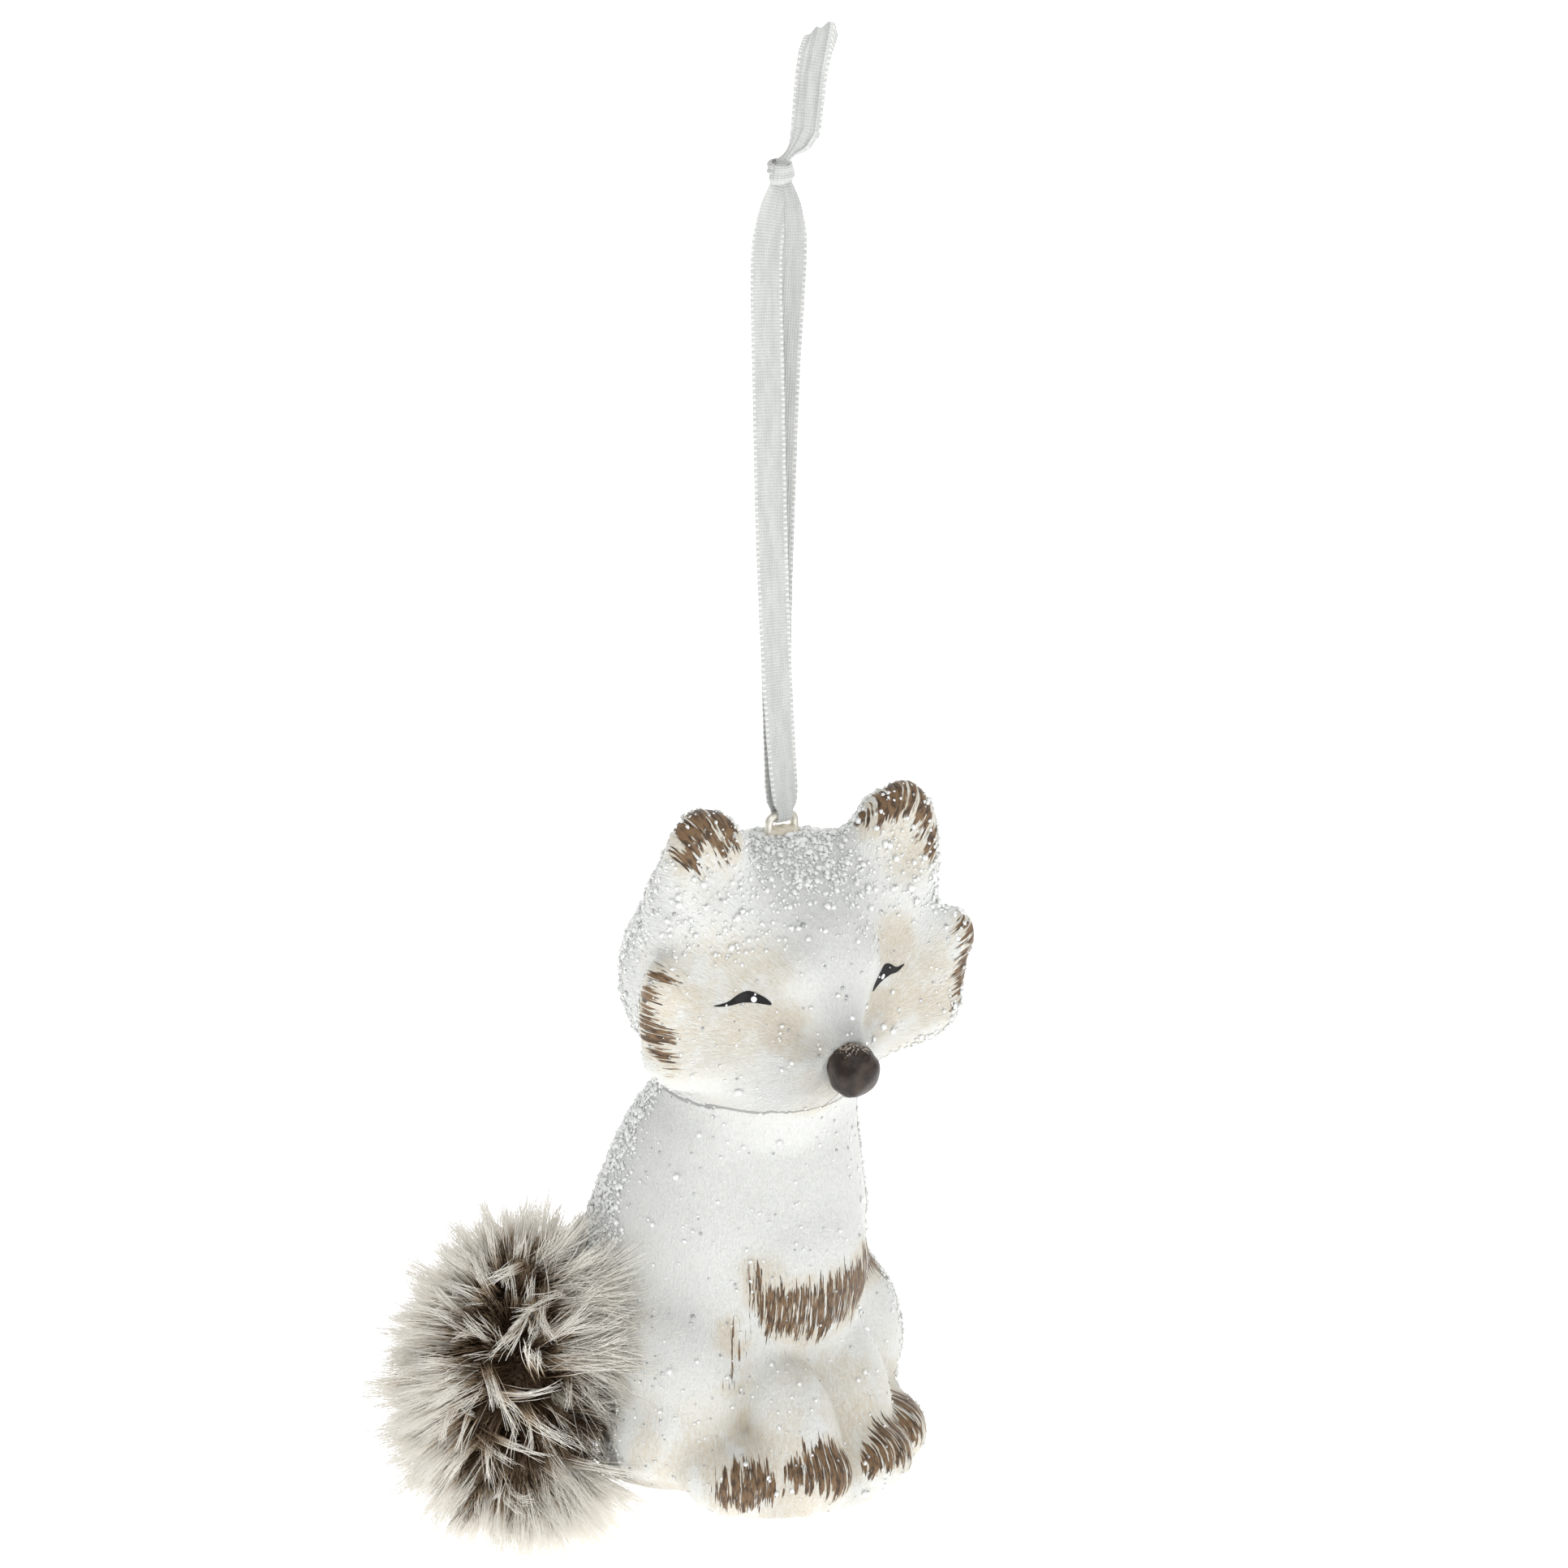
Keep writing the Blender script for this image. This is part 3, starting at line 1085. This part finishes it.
def paint_marks(clay, filled):
    """Writes the paint's masks and the flow of its brush strokes on the clay."""
    mesh = clay.data
    places = places_of(mesh)
    normals = normals_of(mesh)
    fox = fox_places(places)
    head = head_places(places)
    shell = shell_of(mesh)
    brown = np.full(len(places), -50.0)
    for run in BROWN_RUNS:
        steps = np.linspace(0, len(run) - 1, 5 * len(run) - 4)
        dense = np.column_stack([np.interp(steps, np.arange(len(run)), column) for column in np.array(run).T])
        spots = [(fox_places(seen(shell, x, y)), radius) for x, y, radius in dense]
        brown = np.maximum(brown, run_field(fox, spots))
    warm = 0.7 * ease(-2.4, -0.2, brown)
    for x, y, reach, strength in WARM_SPOTS:
        distance = np.linalg.norm(fox - fox_places(seen(shell, x, y)), axis=1)
        warm = np.maximum(warm, strength * fade(0.2, 1.25, distance / reach))
    low = 0.62 * fade(6.0, 19.0, fox[:, 2]) * ease(0.0, 0.5, -normals[:, 1] - 0.3 * normals[:, 0])
    mark(mesh, "brown", np.clip(brown, -6.0, 3.0))
    mark(mesh, "warm", np.maximum(warm, low))
    mark(mesh, "crease", ease(0.15, 1.5, filled) * ease(2.0, 5.0, -fox[:, 1] + 8.0))
    mark(mesh, "snow", snow_cover(fox, head, normals))
    mark(mesh, "flow", flow_of(fox, head))


class FOX_OT_casting(bpy.types.Operator):
    """Models the ceramic fox and lays out its paint"""

    bl_idname = "fox.casting"
    bl_label = "Casting"

    def execute(self, context):
        clay = modelled_clay(context.scene.fox_sizes)
        pairs, degree, filled = fill_creases(clay)
        carve(clay, pairs, degree)
        paint_marks(clay, filled)
        clay.data.materials.append(bpy.data.materials["painted_clay"])
        smooth(clay)
        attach(clay, "fox")
        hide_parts("casting")
        return {"FINISHED"}


# Snow and glitter


def scatter(mesh, density, count, rng):
    """Random points on a mesh, where its density is high, with their normals."""
    mesh.calc_loop_triangles()
    corners = read_all(mesh.loop_triangles, "vertices", 3, np.int32)
    places = places_of(mesh)
    a, b, c = (places[corners[:, k]] for k in range(3))
    weight = np.linalg.norm(np.cross(b - a, c - a), axis=1) / 2 * density[corners].mean(axis=1)
    picked = rng.choice(len(corners), count, p=weight / weight.sum())
    u, v = rng.random(count), rng.random(count)
    flip = u + v > 1
    u[flip], v[flip] = 1 - u[flip], 1 - v[flip]
    spots = a[picked] + (b - a)[picked] * u[:, None] + (c - a)[picked] * v[:, None]
    return spots, unit(normals_of(mesh)[corners[picked]].mean(axis=1))


def outer_share(mesh):
    """1 on the casting's outside, 0 in its hollow and its pouring hole."""
    points = places_of(mesh)
    normals = normals_of(mesh)
    share = (fox_places(points)[:, 2] > 0.6).astype(float)
    shell = shell_of(mesh)
    around = [Vector(way) for way in ((0.0, 0.0, 1.0), (-0.62, -0.74, 0.26), (0.62, 0.74, 0.26))]
    for index in np.nonzero(share)[0]:
        start = Vector(points[index] + normals[index] * 0.0002)
        if all(shell.ray_cast(start, way)[0] is not None for way in (Vector(normals[index]), *around)):
            share[index] = 0.0
    return share


def lumps(spots, out, sizes, squash, rng, template, faces):
    """Copies of a small template, turned at random about the surface's normal and scaled."""
    count = len(spots)
    first = unit(np.cross(out, rng.normal(size=(count, 3))))
    second = np.cross(out, first)
    local = template[None, :, :] * sizes[:, None, None]
    local[:, :, 2] *= squash[:, None]
    axes = np.stack([first, second, out], axis=1)
    offsets = (np.arange(count) * len(template))[:, None, None]
    places = spots[:, None, :] + local @ axes
    return places.reshape(-1, 3), (faces[None, :, :] + offsets).reshape(-1, faces.shape[1])


def flake_template():
    """A thin six-sided flake: two faces and its rim."""
    angles = np.arange(6) * math.pi / 3
    rim = np.column_stack([np.cos(angles), np.sin(angles), np.ones(6)])
    faces = []
    for k in range(1, 5):
        faces += [(0, k, k + 1), (6, 6 + k + 1, 6 + k)]
    for k in range(6):
        after = (k + 1) % 6
        faces += [(k, 6 + k, 6 + after), (k, 6 + after, after)]
    return np.concatenate([rim, rim * (1, 1, -1)]), np.array(faces)


class FOX_OT_snow(bpy.types.Operator):
    """Strews the snow grit and the glitter"""

    bl_idname = "fox.snow"
    bl_label = "Snow and Glitter"

    def execute(self, context):
        sizes = context.scene.fox_sizes
        mesh = bpy.data.objects["fox_casting"].data
        rng = np.random.default_rng(17)
        head = head_places(places_of(mesh))
        nose_gap = 1 - np.clip(near(head, NOSE_MIDDLE, (3.6, 3.6, 3.6)) * 5, 0, 1)
        bare = outer_share(mesh) * nose_gap
        cover = marks_of(mesh, "snow") ** 1.5 + 0.012 + 0.16 * ease(58.0, 64.0, head[:, 2])
        self.grains(mesh, sizes, rng, bare * cover * (1 - 0.9 * ease(-0.9, 0.2, marks_of(mesh, "brown"))))
        self.flakes(mesh, sizes, rng, bare)
        return {"FINISHED"}

    def grains(self, mesh, sizes, rng, density):
        """Snow grit of many sizes, in two pieces."""
        count = sizes.grains
        spots, out = scatter(mesh, density, count, rng)
        lean = unit(out + rng.normal(scale=0.35, size=out.shape))
        bulk = np.minimum(sizes.grain / 2 * np.exp(rng.normal(0.0, 0.42, count)), sizes.grain * 1.3)
        tone = np.clip(rng.beta(2.6, 1.5, count), 0, 1)
        raised = spots + out * (bulk * 0.35)[:, None]
        for index, part in enumerate(np.array_split(np.arange(count), 2), start=1):
            squash = rng.uniform(0.5, 0.9, len(part))
            grit = lumps(raised[part], lean[part], bulk[part], squash, rng, GRAIN_CORNERS, GRAIN_FACES)
            tones = np.repeat(tone[part], len(GRAIN_CORNERS))
            piece_of(f"snow_grains_{index}", *grit, "fox", "snow_ceramic", "snow_grain", tone=tones)

    def flakes(self, mesh, sizes, rng, density):
        """Glitter flakes that lie nearly flat."""
        template, template_faces = flake_template()
        count = sizes.flakes
        spots, out = scatter(mesh, density, count, rng)
        lean = unit(out + rng.normal(scale=0.16, size=out.shape))
        bulk = sizes.flake / 2 * rng.choice([0.4, 0.55, 0.75, 1.05], count, p=[0.4, 0.35, 0.2, 0.05])
        raised = spots + out * (0.04 * MM)
        places, faces = lumps(raised, lean, bulk, 0.02 * MM / bulk, rng, template, template_faces)
        tones = np.repeat(rng.choice([0.1, 0.4, 1.0], count, p=[0.35, 0.25, 0.4]), len(template))
        piece_of("glitter_flakes", places, faces, "fox", "snow_ceramic", "glitter_flake", tone=tones)


# Face


def project(shell, points, way, lift):
    """Points moved onto a shell along a direction, and lifted off it a little."""
    made = []
    for point in points:
        start = Vector(point) - Vector(way) * 0.006
        hit, out, _, _ = shell.ray_cast(start, Vector(way), 0.02)
        if hit is None:
            hit, out, _, _ = shell.find_nearest(Vector(point))
        made.append(np.array(hit) - np.array(way) * lift)
    return np.array(made)


def flat_skin(name, outline):
    """An outline in millimetres filled with a fine mesh."""
    mesh = bpy.data.meshes.new(name)
    build = bmesh.new()
    build.faces.new([build.verts.new((x * MM, y * MM, 0)) for x, y in outline])
    bmesh.ops.triangulate(build, faces=build.faces[:])
    for _ in range(3):
        bmesh.ops.subdivide_edges(build, edges=build.edges[:], cuts=1, use_grid_fill=True)
        bmesh.ops.triangulate(build, faces=build.faces[:])
    bmesh.ops.beautify_fill(build, faces=build.faces[:], edges=build.edges[:])
    build.to_mesh(mesh)
    build.free()
    return mesh


def painted_patch(name, outline, shell, inner, outer, way, finish, lift, thickness):
    """A thin skin of paint whose outline is drawn along the line of an eye and laid on the face."""
    mesh = flat_skin(name, outline)
    span = outer - inner
    flat = places_of(mesh) * (np.linalg.norm(span) / (EYE_OUTLINE[0][0] * MM))
    points = inner + flat[:, :1] * unit(span) + flat[:, 1:2] * np.array([0, 0, 1.0])
    put_places(mesh, project(shell, points, way, lift))
    build = bmesh.new()
    build.from_mesh(mesh)
    bmesh.ops.recalc_face_normals(build, faces=build.faces[:])
    if sum(face.normal.dot(Vector(way)) for face in build.faces) > 0:
        bmesh.ops.reverse_faces(build, faces=build.faces[:])
    build.to_mesh(mesh)
    build.free()
    thing = linked(name, mesh)
    skin = thing.modifiers.new("skin", "SOLIDIFY")
    skin.thickness = thickness
    skin.offset = -1
    apply_all(thing)
    thing.data.materials.append(bpy.data.materials[finish])
    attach(thing, "fox")


def rounded(outline, turns):
    """An outline with its corners rounded off."""
    for _ in range(turns):
        made = []
        for (x0, y0), (x1, y1) in zip(outline, outline[1:] + outline[:1]):
            made += [(x0 + (x1 - x0) * share, y0 + (y1 - y0) * share) for share in (0.25, 0.75)]
        outline = made
    return outline


class FOX_OT_face(bpy.types.Operator):
    """Paints the closed eyes and models the nose"""

    bl_idname = "fox.face"
    bl_label = "Eyes and Nose"

    def execute(self, context):
        shell = shell_of(bpy.data.objects["fox_casting"].data)
        x, y, radius = EYE_DOT
        eyes = ((-1, "right", EYE_CORNERS[:2], 1.0), (1, "left", EYE_CORNERS[2:], 1.5))
        for side, name, corners, heavy in eyes:
            inner, outer = (seen(shell, *corner) for corner in corners)
            way = unit(on_head((side * -0.42, 0.9, -0.02)) - on_head((0, 0, 0)))
            place = (shell, inner, outer, way)
            lid = rounded([(along, up * heavy) for along, up in EYE_OUTLINE], 2)
            painted_patch(f"eye_paint_{name}", lid, *place, "eye_paint", 0.05 * MM, 0.09 * MM)
            angles = np.linspace(0, 2 * math.pi, 14, endpoint=False)
            dot = [(x + radius * math.cos(a), y * heavy + radius * 0.92 * math.sin(a)) for a in angles]
            painted_patch(f"eye_dot_{name}", dot, *place, "eye_glint", 0.10 * MM, 0.08 * MM)
        self.nose()
        return {"FINISHED"}

    def nose(self):
        """The bead: a little taller than wide, with a low ridge where a second coat ends and dents."""
        middle = on_head(NOSE_MIDDLE)
        bead = ball("nose_bead", 64, 40, NOSE_RADIUS * MM, middle)
        way = unit(places_of(bead.data) - middle)
        swell = 0.10 * np.sin(way @ np.array([3.1, 1.7, 2.3]) + 0.6)
        swell += 0.05 * np.sin(way @ np.array([-5.3, 4.1, 6.7]))
        coat = way @ np.array([0.35, -0.55, 0.55])
        swell += 0.09 * ease(-0.34, -0.28, coat) + 0.05 * ease(0.55, 0.7, way[:, 2])
        local = way * (2.62 + swell)[:, None]
        local[:, 2] *= 1.05
        put_places(bead.data, middle + local * MM)
        worn = 0.62 * ease(0.45, 0.9, way[:, 2]) + 0.35 * fade(0.0, 0.05, np.abs(coat + 0.3))
        mark(bead.data, "worn", worn)
        bead.data.materials.append(bpy.data.materials["worn_nose"])
        smooth(bead)
        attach(bead, "fox")
        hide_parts("nose")


class FOX_OT_hanger(bpy.types.Operator):
    """Paints the wire eye, its glue and the hidden knit of the tail"""

    bl_idname = "fox.hanger"
    bl_label = "Hanging Eye"

    def execute(self, context):
        finishes = {"hanging_eye": "painted_wire", "tail_backing": "knit_backing", "tail_glue": "dried_glue"}
        for node, finish in finishes.items():
            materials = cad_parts[node].data.materials
            materials.clear()
            materials.append(bpy.data.materials[finish])
        self.glue()
        return {"FINISHED"}

    def glue(self):
        """The dab of glue as a lumpy web between the legs of the wire."""
        middle = on_fox((1.5, 4.0, 69.4))
        dab = ball("eye_glue_dab", 48, 24, 1.0, middle, (2.2 * MM, 1.1 * MM, 0.7 * MM))
        places = places_of(dab.data)
        local = (places - middle) / MM
        bump = 0.12 * np.sin(local[:, 0] * 4.1 + 0.5) * np.cos(local[:, 1] * 3.3)
        bump += 0.07 * np.sin(local @ np.array([7.0, 5.0, 3.0]))
        put_places(dab.data, places + normals_of(dab.data) * (bump * MM)[:, None])
        dab.data.materials.append(bpy.data.materials["dried_glue"])
        smooth(dab)
        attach(dab, "fox")
        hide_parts("eye_glue")


# Fur


def on_pile(x, y, reach):
    """Where a pixel's ray meets an oval shell round the knit core."""
    radii = CORE_SIZES + reach
    start = (CAMERA_AIM + CAMERA_DISTANCE * BACK - CORE_MIDDLE) / radii
    way = sight(x, y) / radii
    a, b, c = way @ way, start @ way, start @ start - 1
    depth = max(b * b - a * c, 0.0)
    return CORE_MIDDLE + (start + way * (-b - math.sqrt(depth)) / a) * radii


def dark_share(point):
    """1 where the photo shows dark roots at a point's pixel, fading to 0 round them."""
    x, y = pixel_of(point)
    return max(1 - ease(0.7, 1.25, math.hypot(x - px, y - py) / radius) for px, py, radius in DARK_SPOTS)


def tuft_roots(count, rng):
    """Roots over the knit core: place, way out, darkness, height share and direction round it."""
    made = []
    rump = math.atan2(10.6 - CORE_MIDDLE[1], -CORE_MIDDLE[0])
    while len(made) < count:
        spin = rng.uniform(-math.pi, math.pi)
        lift = rng.uniform(-1, 1)
        lift = math.copysign(abs(lift) ** 0.9, lift)
        ring = math.sqrt(max(0.0, 1 - lift * lift))
        if rng.random() > 0.35 + 0.65 * ring:
            continue
        if abs((spin - rump + math.pi) % (2 * math.pi) - math.pi) < math.radians(16) and abs(lift) < 0.75:
            continue
        ball_place = np.array([math.cos(spin) * ring, math.sin(spin) * ring, lift])
        out = unit(ball_place / CORE_SIZES)
        root = CORE_MIDDLE + ball_place * CORE_SIZES
        dark = dark_share(root + out * 4.0) * (out @ BACK > -0.1)
        if dark > 0.5 and rng.random() < 0.35:
            continue
        made.append((root, out, dark, lift, spin))
        if -2.0 < spin < -0.9 and dark < 0.5:
            made.append((root + rng.normal(0, 0.5, 3), out, dark, lift, spin))
    return made


class Fur:
    """The tail's hairs in the making: centre lines, thickness and shade from root to tip."""

    def __init__(self, rng):
        self.rng = rng
        self.share = np.linspace(0, 1, HAIR_RINGS)
        self.lines, self.thick, self.shades = [], [], []

    def tuft(self, root, way, bend, length, hairs, spread, tight, width, tone, steep):
        """One clump of hairs that draw together towards a blunt tip."""
        rng, share = self.rng, self.share
        first = unit(np.cross(way, rng.normal(size=3)))
        second = np.cross(way, first)
        for _ in range(hairs):
            offset = rng.normal(0, spread, 2)
            tip = rng.normal(0, tight, 2)
            stretch = length * rng.uniform(0.80, 1.03)
            aside = np.outer(1 - share, offset) + np.outer(share, tip)
            wave = 0.10 * np.sin(share * rng.uniform(5, 9) + rng.uniform(0, 6))[:, None] * first
            stray = bend + rng.normal(0, 0.05, 3)
            line = root + aside @ np.stack([first, second]) + wave
            self.lines.append(line + np.outer(share * stretch, way) + np.outer(share**2 * stretch, stray))
        for _ in range(hairs):
            self.thick.append(rng.uniform(0.75, 1.15) * width)
            shade = share * steep * rng.uniform(0.92, 1.1) + tone + rng.normal(0, 0.03)
            self.shades.append(np.clip(shade, 0, 1.2))

    def grow(self, root, out, dark, lift, spin):
        """The tuft of one root, which fans away from the middle of the tail."""
        rng = self.rng
        fan = np.array(pixel_of(root + out * 4.0)) - TAIL_PIXEL
        fan /= max(np.linalg.norm(fan), 1.0)
        aside = fan[0] * RIGHT - fan[1] * UP
        facing = max(0.0, out @ BACK)
        way = out + aside * (0.75 * facing * (1 - 0.5 * dark)) + rng.normal(0, 0.20, 3)
        way = unit(way + np.array([0, 0, 0.22 * lift]))
        bend = rng.normal(0, 0.15, 3) + np.array([0, 0, -0.08]) + aside * 0.25 * facing
        low = root - out * 0.4
        if dark > 0.5:
            if rng.random() < 0.22:
                self.tuft(root, way, bend * 1.6, rng.uniform(5.5, 7.5), 6, 0.5, 0.2, 0.9, 0.0, 0.95)
            self.tuft(low, way, bend, rng.uniform(3.6, 6.2), 13, 0.6, 0.45, 0.9, -0.1, 0.42)
            return
        length = rng.uniform(7.6, 9.6) * (1.0 - 0.14 * max(0.0, lift))
        hug = ease(-2.1, -1.7, spin) * fade(-0.8, -0.5, spin) * ease(-0.9, -0.5, lift)
        way = unit(way * (1 - 0.8 * hug) + np.array([0.12, -1.0, 0.35 * max(lift, 0.0) + 0.1]) * hug)
        length *= (1 + 0.55 * hug) * (1 - 0.25 * ease(-0.4, -0.9, lift))
        pale = rng.random() < 0.3 + 0.5 * hug
        warm = rng.random() < 0.25
        tone = rng.normal(0, 0.05) + 0.22 * pale - 0.16 * warm - 0.22 * dark + 0.12 * hug
        gather = 0.14 if rng.random() < 0.55 else 0.30
        self.tuft(low, way, bend, length, 20, 0.62, gather, 1.05, tone, 1.0)
        if rng.random() < 0.35:
            stray = unit(way + rng.normal(0, 0.45, 3))
            self.tuft(root, stray, bend * 2, length * 0.95, 2, 0.7, 0.9, 0.5, 0.1, 1.0)

    def lock(self, root_pixel, tip_pixel):
        """A pale lock of three strands that lies across the dark roots."""
        rng = self.rng
        start = on_pile(*root_pixel, 3.2)
        way = on_pile(*tip_pixel, 6.6) - start
        length = float(np.linalg.norm(way))
        way = way / length
        for _ in range(3):
            root = start - way + rng.normal(0, 0.45, 3)
            lean = way + rng.normal(0, 0.16, 3)
            reach = (length + 1.0) * rng.uniform(0.7, 1.1)
            self.tuft(root, lean, rng.normal(0, 0.22, 3), reach, 13, 0.42, 0.15, 0.95, 0.2, 0.8)

    def fringe(self, root_pixel, tip_pixel):
        """Four pale tufts that stand out of the tail's outline."""
        rng = self.rng
        for _ in range(4):
            root = on_pile(*root_pixel, 1.5) + rng.normal(0, 0.7, 3)
            way = on_pile(*tip_pixel, 6.0) + rng.normal(0, 0.9, 3) - root
            length = float(np.linalg.norm(way))
            self.tuft(root, way / length, rng.normal(0, 0.12, 3), length, 22, 0.55, 0.25, 1.0, 0.2, 0.95)


def off_the_rump(lines):
    """Moves hair that would run into the rump or under the base out of the casting."""
    shell = shell_of(bpy.data.objects["fox_casting"].data)
    for hair in lines:
        for ring in range(1, HAIR_RINGS):
            world = Vector(on_fox(hair[ring]))
            spot, out, _, _ = shell.find_nearest(world, 0.006)
            if spot is not None:
                depth = (world - spot).dot(out) / MM
                hair[ring:] += np.array(out) * max(0.25 - depth, 0.0)
    return lines


def within_reach(lines):
    """Shortens hair that would stand more than a few millimetres out of the box of the solids."""
    world = on_fox(lines)
    root = world[:, :1]
    span = world - root
    low, high = np.array(CAD_BOX[0]) - HAIR_REACH * MM, np.array(CAD_BOX[1]) + HAIR_REACH * MM
    room = np.where(span > 0, (high - root) / np.maximum(span, 1e-9), (low - root) / np.minimum(span, -1e-9))
    share = np.clip(room.min(axis=(1, 2)), 0.2, 1.0)
    return lines[:, :1] + (lines - lines[:, :1]) * share[:, None, None]


def hair_mesh(lines, thick, root):
    """Three-sided tapering skins round the hairs, and the faces of one hair."""
    taper = (1 - 0.72 * np.linspace(0, 1, HAIR_RINGS) ** 1.5) * root / MM
    reach = (thick[:, None] * taper)[:, :, None]
    ways = unit(np.gradient(lines, axis=1))
    first = unit(np.cross(ways, np.array([0.31, 0.52, 0.79])))
    second = np.cross(ways, first)
    angles = np.arange(3) * 2 * math.pi / 3
    places = np.stack([lines + reach * (math.cos(a) * first + math.sin(a) * second) for a in angles], axis=2)
    faces = []
    for start in range(0, (HAIR_RINGS - 1) * 3, 3):
        for corner in range(3):
            a, b = start + corner, start + (corner + 1) % 3
            faces += [(a, b, b + 3), (a, b + 3, a + 3)]
    tip = (HAIR_RINGS - 1) * 3
    faces += [(0, 2, 1), (tip, tip + 1, tip + 2)]
    return places.reshape(len(lines), HAIR_RINGS * 3, 3), np.array(faces)


class FOX_OT_fur(bpy.types.Operator):
    """Grows the fur of the tail"""

    bl_idname = "fox.fur"
    bl_label = "Fur Tail"

    def execute(self, context):
        sizes = context.scene.fox_sizes
        fur = Fur(np.random.default_rng(29))
        for root in tuft_roots(sizes.tufts, fur.rng):
            fur.grow(*root)
        for pixels in LOCKS:
            fur.lock(*pixels)
        for pixels in FRINGE:
            fur.fringe(*pixels)
        lines = within_reach(off_the_rump(np.array(fur.lines)))
        places, faces = hair_mesh(lines, np.array(fur.thick), sizes.hair)
        shades = np.array(fur.shades)
        for index, part in enumerate(np.array_split(np.arange(len(lines)), HAIR_PIECES), start=1):
            points = on_fox(places[part].reshape(-1, 3))
            offsets = (np.arange(len(part)) * HAIR_RINGS * 3)[:, None, None]
            shade = np.repeat(shades[part].reshape(-1), 3)
            corners = (faces + offsets).reshape(-1, 3)
            skins = (points, corners, "fox", "tail_fur", "tail_hair")
            piece = piece_of(f"tail_fur_{index}", *skins, shade=shade)
            piece.data.polygons.foreach_set("use_smooth", [True] * len(piece.data.polygons))
        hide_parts("tail_pile")
        return {"FINISHED"}


class FOX_PT_panel(bpy.types.Panel):
    """Lists the steps of the ornament"""

    bl_idname = "FOX_PT_panel"
    bl_label = "Hanging Fox"
    bl_space_type = "VIEW_3D"
    bl_region_type = "UI"
    bl_category = "Fox"

    def draw(self, context):
        for name in STEPS:
            self.layout.operator("fox." + name)
        for group in (context.scene.fox_sizes, context.scene.fox_colours):
            for key in group.__annotations__:
                self.layout.prop(group, key)


STEPS = ("finishes", "stage", "ribbon", "casting", "face", "snow", "hanger", "fur")
CLASSES = (
    FoxSizes, FoxColours, FOX_OT_finishes, FOX_OT_stage, FOX_OT_ribbon, FOX_OT_casting, FOX_OT_face,
    FOX_OT_snow,
    FOX_OT_hanger, FOX_OT_fur, FOX_PT_panel,
)


def register():
    for kind in CLASSES:
        bpy.utils.register_class(kind)
    bpy.types.Scene.fox_sizes = PointerProperty(type=FoxSizes)
    bpy.types.Scene.fox_colours = PointerProperty(type=FoxColours)


def unregister():
    del bpy.types.Scene.fox_colours
    del bpy.types.Scene.fox_sizes
    for kind in reversed(CLASSES):
        bpy.utils.unregister_class(kind)


def main():
    register()
    for name in STEPS:
        getattr(bpy.ops.fox, name)()
    deselect()


if __name__ == "__main__":
    main()
